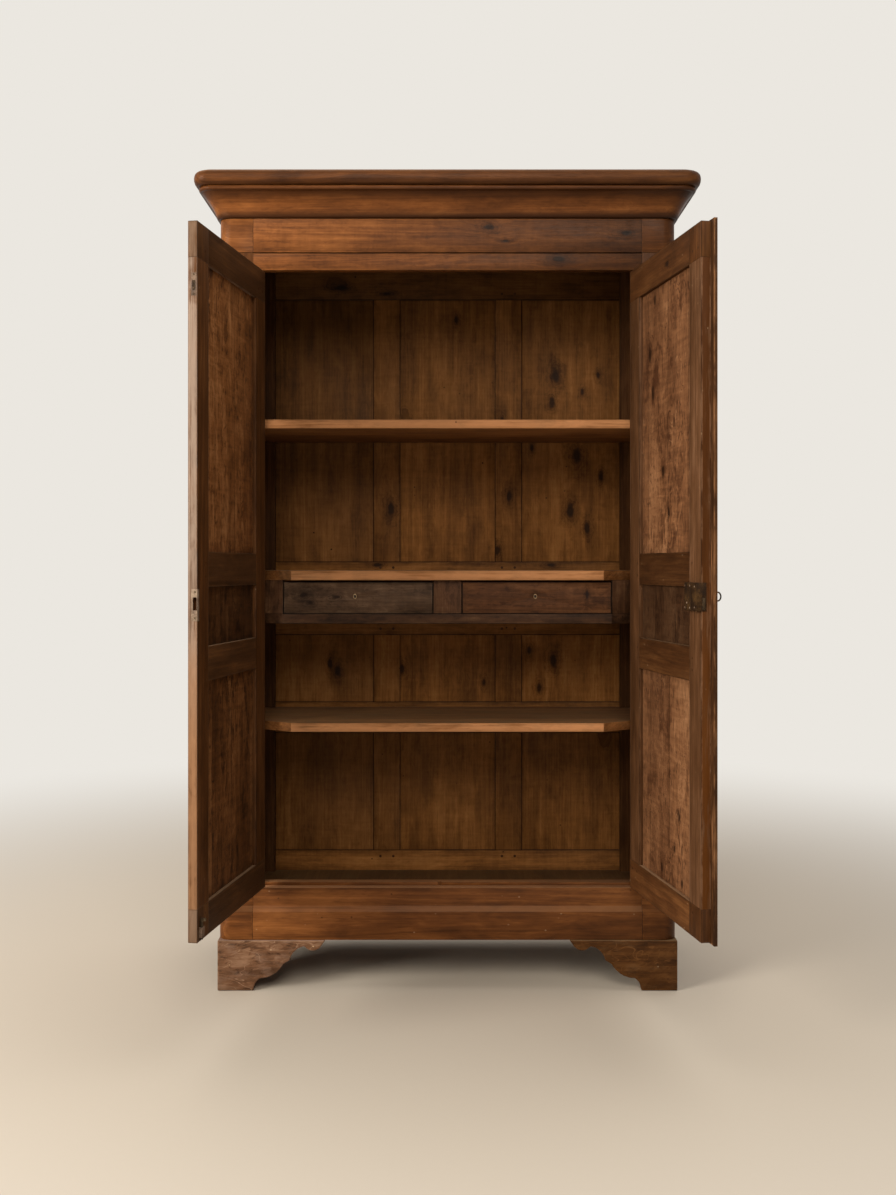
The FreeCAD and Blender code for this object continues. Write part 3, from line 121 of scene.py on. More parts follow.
class Reading:
    """A shader socket that takes part in sums."""

    def __init__(self, finish, socket):
        self.finish = finish
        self.socket = socket

    def sum(self, operation, *terms):
        return self.finish.node("ShaderNodeMath", {"operation": operation}, dict(enumerate(terms)))

    def __add__(self, other):
        return self.sum("ADD", self, other)

    def __radd__(self, other):
        return self.sum("ADD", other, self)

    def __sub__(self, other):
        return self.sum("SUBTRACT", self, other)

    def __rsub__(self, other):
        return self.sum("SUBTRACT", other, self)

    def __mul__(self, other):
        return self.sum("MULTIPLY", self, other)

    def __rmul__(self, other):
        return self.sum("MULTIPLY", other, self)

    def __truediv__(self, other):
        return self.sum("DIVIDE", self, other)

    def __rtruediv__(self, other):
        return self.sum("DIVIDE", other, self)

    def __pow__(self, other):
        return self.sum("POWER", self, other)

    def __abs__(self):
        return self.sum("ABSOLUTE", self)

    def floor(self):
        return self.sum("FLOOR", self)

    def least(self, other):
        return self.sum("MINIMUM", self, other)

    def most(self, other):
        return self.sum("MAXIMUM", self, other)


class Finish:
    """A material or world under way: each call adds a node and hands back its reading."""

    def __init__(self, holder):
        holder.use_nodes = True
        self.holder = holder
        self.tree = holder.node_tree
        self.tree.nodes.clear()

    def node(self, kind, settings=None, sockets=None, output=0):
        made = self.tree.nodes.new(kind)
        for setting, value in (settings or {}).items():
            if setting == "stops":
                self.fill_ramp(made.color_ramp, value)
            else:
                setattr(made, setting, value)
        for name, value in (sockets or {}).items():
            if isinstance(value, Reading):
                self.tree.links.new(value.socket, made.inputs[name])
            else:
                made.inputs[name].default_value = value
        return Reading(self, made.outputs[output])

    @staticmethod
    def fill_ramp(ramp, stops):
        while len(ramp.elements) < len(stops):
            ramp.elements.new(0.5)
        for element, (place, colour) in zip(ramp.elements, stops):
            element.position = place
            element.color = colour

    def place(self):
        """Where a spot is in the whole wardrobe."""
        return self.node("ShaderNodeTexCoord", None, None, "Object")

    def attribute(self, name, output="Vector"):
        return self.node("ShaderNodeAttribute", {"attribute_name": name}, output=output)

    def parts(self, vector):
        split = self.node("ShaderNodeSeparateXYZ", None, {"Vector": vector})
        return [Reading(self, socket) for socket in split.socket.node.outputs]

    def vector(self, operation, *terms, output="Vector"):
        return self.node("ShaderNodeVectorMath", {"operation": operation},
                         dict(enumerate(terms)), output)

    def noise(self, place, stretch, detail=2, roughness=0.5, distortion=0):
        return self.node(
            "ShaderNodeTexNoise", {"noise_dimensions": "3D"},
            {"Vector": self.vector("MULTIPLY", place, stretch), "Scale": 1, "Detail": detail,
             "Roughness": roughness, "Distortion": distortion})

    def noise_along(self, reading, detail=2, roughness=0.5):
        return self.node(
            "ShaderNodeTexNoise", {"noise_dimensions": "1D"},
            {"W": reading, "Scale": 1, "Detail": detail, "Roughness": roughness})

    def cells(self, place, stretch, spread=1):
        """How far a spot is from the nearest of some scattered points."""
        return self.node(
            "ShaderNodeTexVoronoi", {"feature": "F1"},
            {"Vector": self.vector("MULTIPLY", place, stretch), "Scale": 1,
             "Randomness": spread}, "Distance")

    def step(self, reading, low, high):
        """Rises smoothly from 0 to 1 between two values; falls where they are swapped."""
        upwards = low < high
        rise = self.node(
            "ShaderNodeMapRange", {"interpolation_type": "SMOOTHSTEP"},
            {"Value": reading, "From Min": min(low, high), "From Max": max(low, high)})
        return rise if upwards else 1 - rise

    def ramp(self, reading, stops):
        return self.node("ShaderNodeValToRGB", {"stops": stops}, {"Fac": reading}, "Color")

    def mix(self, share, first, second):
        return self.node(
            "ShaderNodeMix", {"data_type": "RGBA", "blend_type": "MIX", "clamp_factor": True},
            {0: share, 6: first, 7: second}, 2)

    def shaded(self, colour, amount):
        """A colour made brighter or darker by a factor."""
        return self.node("ShaderNodeVectorMath", {"operation": "SCALE"},
                         {"Vector": colour, "Scale": amount}, "Vector")

    def close(self, sockets, height, strength, distance):
        """Ends a material with its own sockets and the bumps of a height."""
        sockets["Normal"] = self.node(
            "ShaderNodeBump", None,
            {"Strength": strength, "Distance": distance, "Height": height}, "Normal")
        self.end(self.node("ShaderNodeBsdfPrincipled", None, sockets, "BSDF"))
        return self.holder

    def end(self, surface, kind="ShaderNodeOutputMaterial"):
        self.tree.links.new(surface.socket, self.tree.nodes.new(kind).inputs["Surface"])


# Turns of each pattern in a metre: along a board, across it and through it
DRIFT = (1.6, 7, 7)
TRUNK = (2.1, 2.5, 2.5)
FIBRE = (5, 190, 190)
BLOTCH = (2.1, 7, 7)
CLOUD = (7, 24, 24)
SWIRL = (5, 12, 12)
FINE_SWIRL = (22, 44, 44)
VEIN = (5, 15, 15)
CURL = (80, 11, 11)
KNOT = (1.9, 3.6, 0)
KNOT_EDGE = (26, 50, 50)
PORE = (34, 900, 900)
STREAK = (2.8, 110, 110)
STAIN = (2.6, 6, 6)
RUB = (14, 60, 60)
SCRATCH = (9, 26, 26)
HOLE = (22, 22, 22)
DUST = (9, 20, 20)
FLECK = (30, 45, 45)

KNOT_TONE = tint(26, 14, 7)
SEAM_TONE = tint(20, 11, 6)
HOLE_TONE = tint(20, 12, 7)
FLECK_TONE = tint(188, 160, 126)

# What a wood may be given, and what it has otherwise. A share is 0 for none.
PLAIN_WOOD = {
    "rings": 80,  # yearly rings, as turns in a metre
    "figure": 0.45,  # share of the rings
    "fibres": 0.6,  # share of the fibres
    "contrast": 1.0,
    "flame": 0.0,  # share of the swirls of figured wood
    "veins": 0.0,  # share of the thin dark lines in them
    "curl": 0.0,  # share of the ripples across the grain
    "plank": 0.0,  # width of the strips that a panel is glued from, 0 for one
    "knots": 0.0,  # size of the scattered knots
    "marks": (),  # knots at a place of their own, each with a radius
    "flow": (1, 1, 0.5),  # how those are drawn out along each axis, less than 1 for longer
    "pores": 0.4,
    "streaks": 0.3,
    "stains": 0.4,
    "raw": None,  # tint of sawn edges, and what it is at a board's upper end
    "raw_top": None,
    "raw_share": 0.0,
    "scratches": 0.0,
    "holes": 0.0,
    "wear": 0.4,  # share of light wood on arrises
    "grime": 0.6,  # share of dirt in joints, and a joint's width
    "joint": 0.0012,
    "soiled_at": (),  # levels darkened as painted shade in creases, each with its reach and share
    "hollows": 0.0,  # share of painted shade on surfaces that face down
    "dust": 0.0,  # share of dust all over, and of dust with a painted highlight on surfaces that face up
    "ledge": 0.0,
    "dust_tone": tint(140, 122, 98),
    "flecks": 0.0,  # share of the pale flecks
    "fade": 0.0,  # painted falloff of light: how much darker a board gets along its length
    "gloss": 0.52,  # roughness of the wax
}


class Wood(Finish):
    """Sawn and waxed wood, drawn in each board's own directions.

    The board carries its place from its middle (along, across, through), its half sizes, a
    draw of its own and its shade, which is partly painted light. Rings are cut at a slant,
    fibres and pores run along, and arrises are rubbed lighter while joints keep their grime.
    Raw wood shows on sawn edges, and dust lies on ledges with a painted highlight. Creases
    and undersides get painted shade, and some boards a painted falloff of light.
    """

    SLANT = 0.06

    def __init__(self, name, dark, middle, light, look):
        super().__init__(bpy.data.materials.new(name))
        self.look = SimpleNamespace(**{**PLAIN_WOOD, **look})
        self.dark, self.middle, self.light = dark, middle, light
        self.grain = self.attribute("grain")
        self.along, self.across, self.through = self.parts(self.grain)
        draw = self.attribute("draw")
        self.draw_a, self.draw_b, self.draw_c = self.parts(draw)
        self.lane = self.vector("ADD", self.grain, self.vector("MULTIPLY", draw, (17, 13, 19)))
        self.fibre = self.noise(self.lane, FIBRE, 4, 0.7)
        self.blotch = self.noise(self.lane, BLOTCH, 5, 0.66)
        self.cloud = self.noise(self.lane, CLOUD, 4, 0.62, 0.7)
        self.pore = self.step(self.noise(self.lane, PORE, 1), 0.6, 0.74)
        self.rub = self.noise(self.lane, RUB, 4, 0.7)
        self.colour = None

    def lay(self, share, colour):
        """Lays a share of a colour over what is there."""
        self.colour = self.mix(share, self.colour, colour)

    def strips(self):
        """The strips that a panel is glued from: their shift in the rings, tone and seams."""
        width = self.look.plank
        if not width:
            return 0, 0, None
        lot = (self.across / width + self.draw_a * 0.8
               + self.noise(self.lane, (0.9, 0, 0)) * 0.02)
        whole = lot.floor()
        strip_draw = self.node("ShaderNodeTexWhiteNoise", {"noise_dimensions": "1D"},
                               {"W": whole + self.draw_b * 7}, "Value")
        inside = lot - whole
        seam = self.step(inside.least(1 - inside) * width, 0.0016, 0.0006)
        return strip_draw * 3, (strip_draw - 0.5) * 0.2, seam

    def from_heart(self):
        """How far a spot was from the heart of its trunk, which ran behind the board."""
        drift = self.noise(self.lane, DRIFT, 3) - 0.5
        across = self.across + (self.draw_a - 0.5) * 0.2 + drift * 0.035
        depth = (self.through + 0.05 + self.draw_b * 0.09
                 + self.along * (self.draw_c - 0.5) * self.SLANT
                 + (self.noise(self.lane, TRUNK, 2) - 0.5) * self.SLANT * 0.3)
        return (across * across + depth * depth) ** 0.5

    def from_marks(self):
        """How far a spot is from the nearest marked knot, in that knot's radii."""
        if not self.look.marks:
            return None
        place = self.place()
        rough = self.noise(place, (52, 52, 52), 4, 0.66) - 0.5
        nearest = None
        for centre, size in self.look.marks:
            apart = self.vector("MULTIPLY", self.vector("SUBTRACT", place, centre),
                                tuple(part / size for part in self.look.flow))
            gap = self.vector("LENGTH", apart, output="Value")
            nearest = gap if nearest is None else nearest.least(gap)
        return nearest + rough * nearest.least(2) * 1.7

    def figured(self, tone):
        """A tone with the swirls, veins and ripples of figured wood."""
        look = self.look
        if look.flame:
            swirl = self.noise(self.lane, SWIRL, 5, 0.68, 1.3)
            fine = self.noise(self.lane, FINE_SWIRL, 4, 0.66, 1.6)
            dark_flame = self.step(swirl * 0.55 + fine * 0.45, 0.5, 0.6)
            light_flame = self.step(swirl * 0.7 + fine * 0.3, 0.46, 0.34)
            tone = tone - dark_flame * look.flame * 0.22 + light_flame * look.flame * 0.17
        if look.veins:
            bend = self.noise(self.lane, VEIN, 3, 0.6, 0.9) * 9
            vein = self.step(abs(bend - bend.floor() - 0.5), 0.14, 0.0)
            tone = tone - vein * self.step(self.cloud, 0.42, 0.6) * look.veins * 0.3
        if look.curl:
            ripple = self.noise(self.lane, CURL, 2, 0.5, 0.8) - 0.5
            tone = tone + ripple * look.curl * 0.35
        return tone

    def knotted(self, tone, spot):
        """A tone with rings round its knots, and how dark the knots make a spot."""
        size = self.look.knots
        knot_dark = None
        if size:
            cell = (self.cells(self.lane, KNOT, 0.9)
                    + (self.noise(self.lane, KNOT_EDGE, 2) - 0.5) * 0.06)
            near = self.step(cell, 0.17, 0.05)
            round_ring = self.noise_along(cell * 36, 2)
            tone = tone * (1 - near) + (0.5 + (round_ring - 0.5) * 0.9) * near - near * 0.12
            knot_dark = self.step(cell, 0.055 * size + 0.008, 0.025 * size)
        if spot is not None:
            halo = self.step(spot, 3.4, 0.8)
            tone = tone + (self.noise_along(spot * 2.6, 2) - 0.66) * halo * 0.6
            core = self.step(spot, 1.15, 0.55)
            knot_dark = core if knot_dark is None else core.most(knot_dark)
        return tone, knot_dark

    def age_surface(self):
        """Pores, streaks and stains that lie in the wood itself."""
        look = self.look
        self.lay(self.pore * look.pores, self.dark)
        if look.streaks:
            streak = self.step(self.noise(self.lane, STREAK, 3, 0.65, 0.4), 0.6, 0.72)
            self.lay(streak * look.streaks, self.dark)
        stain = self.step(self.noise(self.lane, STAIN, 4, 0.7), 0.5, 0.72)
        self.lay(stain * look.stains, self.dark)

    def use_edges(self):
        """Sawn edges, scratches, holes, rubbed arrises and grimy joints."""
        look = self.look
        half = self.attribute("half")
        end_gap, side_gap, face_gap = self.parts(
            self.vector("SUBTRACT", half, self.vector("ABSOLUTE", self.grain)))
        edge = end_gap.least(side_gap).most(end_gap.most(side_gap).least(face_gap))
        if look.raw:
            sawn = self.step(end_gap.least(side_gap), 0.0015, 0.0008)
            raw = look.raw
            if look.raw_top:
                lower = self.step(self.along + (self.cloud - 0.5) * 0.3, -0.45, 0.1)
                raw = self.mix(lower, raw, look.raw_top)
            bare = self.mix(self.step(self.cloud + self.fibre, 0.95, 1.35), raw, self.colour)
            self.lay(sawn * look.raw_share, bare)
        if look.scratches:
            path = self.noise(self.lane, SCRATCH, 1, 0.5, 1.2)
            scratch = (self.step(abs(path - 0.5), 0.012, 0.003)
                       * self.step(self.blotch, 0.4, 0.55))
            self.lay(scratch * look.scratches, self.light)
        if look.holes:
            hole = (self.step(self.cells(self.lane, HOLE), 0.07, 0.05)
                    * self.step(self.blotch, 0.48, 0.58))
            self.lay(hole * look.holes, HOLE_TONE)
        rubbed = self.step(edge, 0.005, 0.0006) * self.step(self.rub, 0.4, 0.62)
        self.lay(rubbed * look.wear, self.light)
        crack = self.step(edge, look.joint, look.joint * 0.3)
        soiled = self.step(edge, 0.022, 0.0) * self.step(self.rub, 0.7, 0.35) * 0.4
        self.lay((crack * (0.6 + self.rub * 0.6) + soiled) * look.grime,
                 darker(self.dark, 0.5))

    def settle_dust_and_painted_light(self):
        """Painted shade in creases and on undersides, dust and painted highlight on ledges,
        flecks; hands back the dust and highlight.
        """
        look = self.look
        dust_and_highlight_film = None
        # Painted shade: bands round set levels are darkened, as in a moulding's creases
        if look.soiled_at:
            level = self.parts(self.place())[2]
            for height, reach, share in look.soiled_at:
                self.lay(self.step(abs(level - height), reach, 0) * share,
                         darker(self.dark, 0.5))
        if look.dust or look.ledge or look.hollows:
            up = self.parts(self.node("ShaderNodeNewGeometry", None, None, "Normal"))[2]
        # Painted shade: surfaces that face down are darkened, as under mouldings
        if look.hollows:
            self.lay(self.step(up, -0.1, -0.75) * look.hollows, darker(self.dark, 0.55))
        # Dust all over, and dust with a painted highlight on surfaces that face up
        if look.dust or look.ledge:
            settled = self.noise(self.lane, DUST, 5, 0.72)
            dust_and_highlight_film = (self.step(up, 0.3, 0.9) * (0.5 + settled) * look.ledge
                    + self.step(settled, 0.5, 0.66) * look.dust * 0.7)
            self.lay(dust_and_highlight_film, look.dust_tone)
        if look.flecks:
            fleck = (self.step(self.cells(self.lane, FLECK), 0.1, 0.06)
                     * self.step(self.cloud, 0.5, 0.58))
            self.lay(fleck * look.flecks, FLECK_TONE)
        return dust_and_highlight_film

    def made(self):
        look = self.look
        shift, strip_tone, seam = self.strips()
        radius = self.from_heart()
        spot = self.from_marks()
        if spot is not None:
            radius = radius + self.step(spot, 5, 0.6) * 0.012
        ring = self.noise_along(radius * look.rings + self.draw_a * 31 + shift, 4, 0.7)
        tone = 0.5 + ((ring - 0.5) * look.figure + (self.fibre - 0.5) * look.fibres
                      + (self.blotch - 0.5) * 0.7 + (self.cloud - 0.5) * 0.45) * look.contrast
        tone = tone + (self.draw_b - 0.5) * 0.08 + strip_tone
        tone, knot_dark = self.knotted(self.figured(tone), spot)
        brown = tuple(a * 0.45 + b * 0.55 for a, b in zip(self.dark, self.middle))
        self.colour = self.ramp(
            tone, [(0.2, self.dark), (0.4, brown), (0.52, self.middle), (0.78, self.light)])
        self.age_surface()
        height = self.fibre * 0.45 - self.pore * 0.5 + ring * 0.25 + self.rub * 0.25
        if knot_dark is not None:
            self.lay(knot_dark * 0.88, KNOT_TONE)
            height = height - knot_dark * 0.8
        if seam is not None:
            self.lay(seam * 0.75, SEAM_TONE)
            height = height - seam * 1.5
        self.use_edges()
        dust_and_highlight_film = self.settle_dust_and_painted_light()
        roughness = look.gloss + (self.blotch - 0.5) * 0.3 + self.pore * 0.15
        if dust_and_highlight_film is not None:
            roughness = roughness + dust_and_highlight_film * 0.3
        # Each board's shade: partly its own tone, partly painted light and shade
        shade = self.attribute("shade", "Fac")
        # Painted falloff of light: a board darker towards the right, back or top end of its length
        if look.fade:
            shade = shade * (1 - self.along * look.fade)
        return self.close(
            {"Base Color": self.shaded(self.colour, shade), "Roughness": roughness,
             "Specular IOR Level": 0.12}, height, 0.45, 0.0007)


def wood(name, dark, middle, light, **look):
    return Wood(name, dark, middle, light, look).made()


def old_metal(name, dark, middle, light, rough=0.55, metallic=0.7, shine=0.5):
    """Hand-worked metal, rubbed bright on high spots and dull with old oil elsewhere."""
    finish = Finish(bpy.data.materials.new(name))
    place = finish.place()
    cloud = finish.noise(place, (38, 38, 38), 4, 0.65)
    grit = finish.noise(place, (420, 420, 420), 3, 0.6)
    spots = finish.step(finish.noise(place, (150, 150, 150), 2), 0.6, 0.72)
    colour = finish.ramp(cloud * 0.7 + grit * 0.3, [(0.34, dark), (0.5, middle), (0.66, light)])
    colour = finish.mix(spots * 0.6, colour, dark)
    return finish.close(
        {"Base Color": colour, "Metallic": metallic - spots * 0.4,
         "Roughness": rough + (cloud - 0.5) * 0.4 + spots * 0.15, "Specular IOR Level": shine},
        grit * 0.5 + cloud * 0.5 - spots * 0.4, 0.5, 0.0004)


def knots_on(body, depth, *spots):
    """Knots on one face of a shut body: places across and up, and each one's radius."""
    return [(tuple(stance(body) @ Vector((across, depth, up))), size)
            for across, up, size in spots]


FRONT_LOOK = {
    "dark": tint(56, 29, 10), "middle": tint(110, 65, 30), "light": tint(150, 95, 49),
    "streaks": 0.12, "stains": 0.34, "gloss": 0.42, "wear": 0.4, "joint": 0.002, "fibres": 0.32,
    "figure": 0.38,
}
# The front gets painted shade on its undersides, dust with a painted highlight on its ledges and a
# painted falloff of light to the right; the base gets the highlight and the falloff too
FRONT = wood("waxed_walnut", knots=0.3, ledge=0.45, dust_tone=tint(160, 118, 82), fade=0.5,
             hollows=0.55, **FRONT_LOOK)
BASE = wood("base_walnut", knots=0.3, flecks=0.35, ledge=0.75, dust_tone=tint(176, 128, 90),
            fade=0.35, holes=0.5, **FRONT_LOOK)
# The cornice gets painted shade in its two creases and on its undersides, and a painted falloff of
# light to the right
CORNICE = wood("cornice_walnut", knots=0.2, fade=0.5, hollows=0.4, flame=0.3,
               soiled_at=((2.1845, 0.026, 0.75), (2.1220, 0.028, 0.95)), **FRONT_LOOK)
# A strong painted falloff of light darkens the frieze and head rail to the right
FRIEZE = wood("frieze_walnut", fade=1.1, flow=(0.45, 1, 1), curl=0.3, flame=0.35,
              marks=knots_on("case", -0.24, (0.114, 2.098, 0.008), (0.307, 2.01, 0.009),
                             (0.492, 2.082, 0.007), (0.16, 2.06, 0.004)), **FRONT_LOOK)
SIDES = wood("side_walnut", tint(56, 31, 14), tint(106, 63, 33), tint(142, 92, 54), flame=0.35,
             plank=0.2, joint=0.002)
STILE_LOOK = {
    "dark": tint(54, 31, 14), "middle": tint(102, 63, 32), "light": tint(144, 96, 56),
    "rings": 110, "contrast": 0.8, "wear": 0.45, "joint": 0.002, "flecks": 0.35,
}
RAIL_LOOK = {
    "dark": tint(46, 27, 12), "middle": tint(80, 48, 24), "light": tint(114, 75, 42),
    "rings": 110, "contrast": 0.85, "knots": 0.3, "ledge": 0.6, "joint": 0.002,
    "dust_tone": tint(146, 116, 88),
}
STILES = wood("door_stile_walnut", **STILE_LOOK)
RAILS = wood("door_rail_walnut", flecks=0.4, flow=(1, 0.5, 1),
             marks=knots_on("right_door", -0.214, (0.235, 1.923, 0.008)), **RAIL_LOOK)
BARE_STILES = wood("bare_edged_stile_walnut", raw=tint(180, 134, 98),
                   raw_top=tint(184, 160, 143), raw_share=0.92, **STILE_LOOK)
BARE_RAILS = wood("bare_edged_rail_walnut", raw=tint(134, 108, 88), raw_share=0.85,
                  **{**RAIL_LOOK, "middle": tint(80, 52, 30)})
GOLDEN_STILE = wood("golden_edged_stile_walnut", raw=tint(100, 56, 15),
                    raw_top=tint(80, 43, 9), raw_share=0.92,
                    **{**STILE_LOOK, "middle": tint(98, 66, 42), "light": tint(150, 112, 84),
                       "wear": 0.9})
DUSTY_STILE = wood("dusty_stile_walnut",
                   **{**STILE_LOOK, "middle": tint(100, 67, 42), "light": tint(148, 108, 78)})
ASTRAGAL = wood("astragal_walnut", tint(30, 17, 7), tint(70, 42, 20), tint(150, 106, 70),
                wear=0.8, joint=0.001)
PANEL_LOOK = {
    "rings": 60, "figure": 0.3, "curl": 0.9, "plank": 0.146, "wear": 0.15, "streaks": 0.12,
    "knots": 0.25, "fibres": 0.45,
}
PANELS = wood("figured_panel_walnut", tint(46, 26, 13), tint(118, 75, 41), tint(156, 110, 70),
              contrast=0.95, flame=1.0, veins=0.8, scratches=0.2, **PANEL_LOOK)
PALE_PANELS = wood(
    "rosy_panel_walnut", tint(72, 43, 26), tint(134, 92, 61), tint(172, 128, 92), contrast=0.72,
    flame=0.85, veins=1.0, scratches=0.4,
    marks=knots_on("right_door", -0.224, (0.393, 1.721, 0.012), (0.292, 1.405, 0.010),
                   (0.354, 1.858, 0.008), (0.37, 1.62, 0.009), (0.25, 1.30, 0.008),
                   (0.177, 0.548, 0.007), (0.3, 0.394, 0.008), (0.156, 0.385, 0.006),
                   (0.21, 0.46, 0.005)), **PANEL_LOOK)
FEET = wood("worn_foot_walnut", tint(44, 28, 18), tint(102, 71, 50), tint(146, 115, 92),
            contrast=1.45, figure=0.1, fibres=0.08, streaks=0.05, pores=0.1, flame=0.9,
            stains=0.6, wear=1.0, dust=0.6, ledge=1.0, holes=0.8, gloss=0.6, flecks=0.9,
            scratches=0.9, dust_tone=tint(130, 105, 90))
DARK_FOOT = wood("dark_foot_walnut", tint(46, 25, 9), tint(98, 60, 26), tint(136, 90, 48),
                 contrast=1.1, figure=0.25, fibres=0.25, streaks=0.1, flame=0.5, stains=0.6,
                 wear=1.0, dust=0.25, ledge=0.9, holes=0.7, gloss=0.55, flecks=0.6,
                 scratches=0.7, dust_tone=tint(150, 118, 84))
DRAWER_LOOK = {
    "contrast": 0.8, "flame": 0.6, "stains": 0.3, "wear": 0.5, "gloss": 0.6, "joint": 0.0025,
    "grime": 0.9, "curl": 0.4, "figure": 0.34, "fibres": 0.4,
}
DRAWERS = wood("drawer_walnut", tint(36, 22, 13), tint(84, 56, 37), tint(120, 88, 62),
               knots=0.4, **DRAWER_LOOK)
DUSTY_DRAWER = wood(
    "dusty_drawer_walnut", tint(34, 23, 15), tint(80, 59, 43), tint(118, 94, 74), dust=0.3,
    scratches=0.35, dust_tone=tint(100, 84, 70), flow=(0.6, 1, 1),
    marks=knots_on("case", -0.18, (-0.402, 1.084, 0.009), (-0.385, 1.062, 0.006),
                   (-0.31, 1.078, 0.006)), **DRAWER_LOOK)
BROWN_DRAWER = wood(
    "brown_drawer_walnut", tint(38, 20, 9), tint(90, 56, 32), tint(126, 84, 52),
    flow=(1.6, 1, 0.5), marks=knots_on("case", -0.18, (0.391, 1.084, 0.007)), **DRAWER_LOOK)
SHELVES = wood("shelf_wood", tint(74, 43, 19), tint(130, 84, 46), tint(162, 109, 64),
               rings=100, stains=0.4, wear=0.7, dust=0.3, ledge=0.45, gloss=0.6, plank=0.19,
               holes=0.9, dust_tone=tint(112, 92, 68), raw=tint(194, 137, 92), raw_share=0.95,
               joint=0.0006)
PINE_LOOK = {
    "rings": 45, "figure": 0.34, "fibres": 0.42, "contrast": 0.72, "stains": 0.3,
    "wear": 0.3, "gloss": 0.62, "pores": 0.4, "holes": 0.9, "streaks": 0.2, "grime": 0.95,
    "joint": 0.0035, "curl": 0.35, "flame": 0.25,
}
PINE_TINTS = (tint(50, 28, 11), tint(125, 82, 40), tint(166, 116, 66))
PINE = wood("old_pine", *PINE_TINTS, knots=0.7, plank=0.17, **PINE_LOOK)
# A painted falloff of light darkens the back panels towards the top, as shade under the head
BACK_PANELS = wood(
    "old_back_pine", *PINE_TINTS, knots=0.25, fade=0.45,
    marks=knots_on("case", 0.22, (0.338, 1.757, 0.013), (0.325, 1.676, 0.009),
                   (0.469, 1.76, 0.006), (0.419, 1.707, 0.006), (0.026, 1.932, 0.006),
                   (0.403, 1.508, 0.015), (0.382, 1.336, 0.012), (0.435, 1.283, 0.009),
                   (0.478, 1.442, 0.008), (0.263, 1.533, 0.006), (-0.367, 0.863, 0.009),
                   (-0.342, 0.838, 0.010), (0.329, 0.869, 0.012), (0.285, 0.785, 0.009),
                   (0.254, 0.903, 0.008), (-0.142, 0.844, 0.009), (0.113, 0.803, 0.006)),
    **PINE_LOOK)
BACK_MUNTINS = wood(
    "old_muntin_pine", *PINE_TINTS, knots=0.25,
    marks=knots_on("case", 0.215, (-0.176, 1.343, 0.012), (0.191, 1.383, 0.010),
                   (0.155, 1.212, 0.009), (0.17, 1.62, 0.005)), **PINE_LOOK)
BACK_RAILS = wood(
    "old_rail_pine", *PINE_TINTS, knots=0.3, flow=(0.4, 1, 1),
    marks=knots_on("case", 0.215, (-0.189, 2.012, 0.006), (-0.332, 2.03, 0.009),
                   (-0.217, 1.168, 0.006), (0.322, 1.168, 0.006)), **PINE_LOOK)
FLOOR = wood("dusty_floor_pine", tint(50, 30, 14), tint(100, 67, 36), tint(134, 100, 62),
             contrast=0.75, fibres=0.35, figure=0.35, streaks=0.15,
             knots=0.6, stains=0.6, wear=0.3, dust=0.45, ledge=0.35, gloss=0.7,
             pores=0.3, holes=0.7, dust_tone=tint(108, 86, 58))
OAK = wood("dark_oak", tint(38, 21, 9), tint(72, 43, 20), tint(102, 68, 38), rings=120,
           contrast=0.9, stains=0.5, wear=0.3, gloss=0.75)
IRON = old_metal("old_iron", tint(38, 28, 17), tint(64, 49, 31), tint(96, 80, 58))
STRIKE = old_metal("strike_metal", tint(70, 54, 42), tint(118, 97, 80), tint(158, 138, 118),
                   0.6, 0.3)
BRASS = old_metal("old_brass", tint(84, 64, 42), tint(150, 124, 88), tint(206, 180, 140),
                  0.45, 0.5)
LOCK = old_metal("old_lock_iron", tint(24, 13, 5), tint(47, 30, 14), tint(82, 58, 30), 0.7, 0,
                 shine=0.15)
PLATE = old_metal("worn_plate_metal", tint(50, 36, 26), tint(98, 76, 60), tint(136, 112, 92), 0.65,
                  0.15)
KEY = old_metal("dark_key", tint(24, 17, 11), tint(46, 35, 24), tint(78, 62, 44), 0.6, 0.25)
PEG_WOOD = wood("peg_wood", tint(30, 17, 8), tint(62, 38, 20), tint(86, 56, 32), grime=0.3)

FINISHES = {
    "walnut": FRONT,
    "figured_walnut": PANELS,
    "worn_walnut": FEET,
    "drawer_walnut": DRAWERS,
    "shelf_wood": SHELVES,
    "old_pine": PINE,
    "dark_oak": OAK,
    "old_iron": IRON,
    "strike_metal": STRIKE,
    "old_brass": BRASS,
}
# Boards whose finish isn't their slot's plain one
OTHER_FINISHES = {
    "cornice_front": CORNICE, "frieze_board": FRIEZE, "head_rail": FRIEZE, "base_rail": BASE,
    "left_side_panels": SIDES, "right_side_panels": SIDES,
    "left_side_rails": SIDES, "right_side_rails": SIDES,
    "left_door_hinge_stile": STILES, "left_door_meeting_stile": BARE_STILES,
    "right_door_hinge_stile": DUSTY_STILE, "right_door_meeting_stile": GOLDEN_STILE,
    "left_door_rails": BARE_RAILS, "right_door_rails": RAILS, "door_astragal": ASTRAGAL,
    "right_door_panels": PALE_PANELS, "right_front_foot": DARK_FOOT,
    "left_drawer_front": DUSTY_DRAWER, "right_drawer_front": BROWN_DRAWER,
    "back_panels": BACK_PANELS, "back_muntins": BACK_MUNTINS, "back_rails": BACK_RAILS,
    "floor_boards": FLOOR, "door_key": KEY, "lock_case": LOCK, "door_bolt_plates": PLATE,
    "left_drawer_keyhole": KEY, "right_drawer_keyhole": KEY,
}
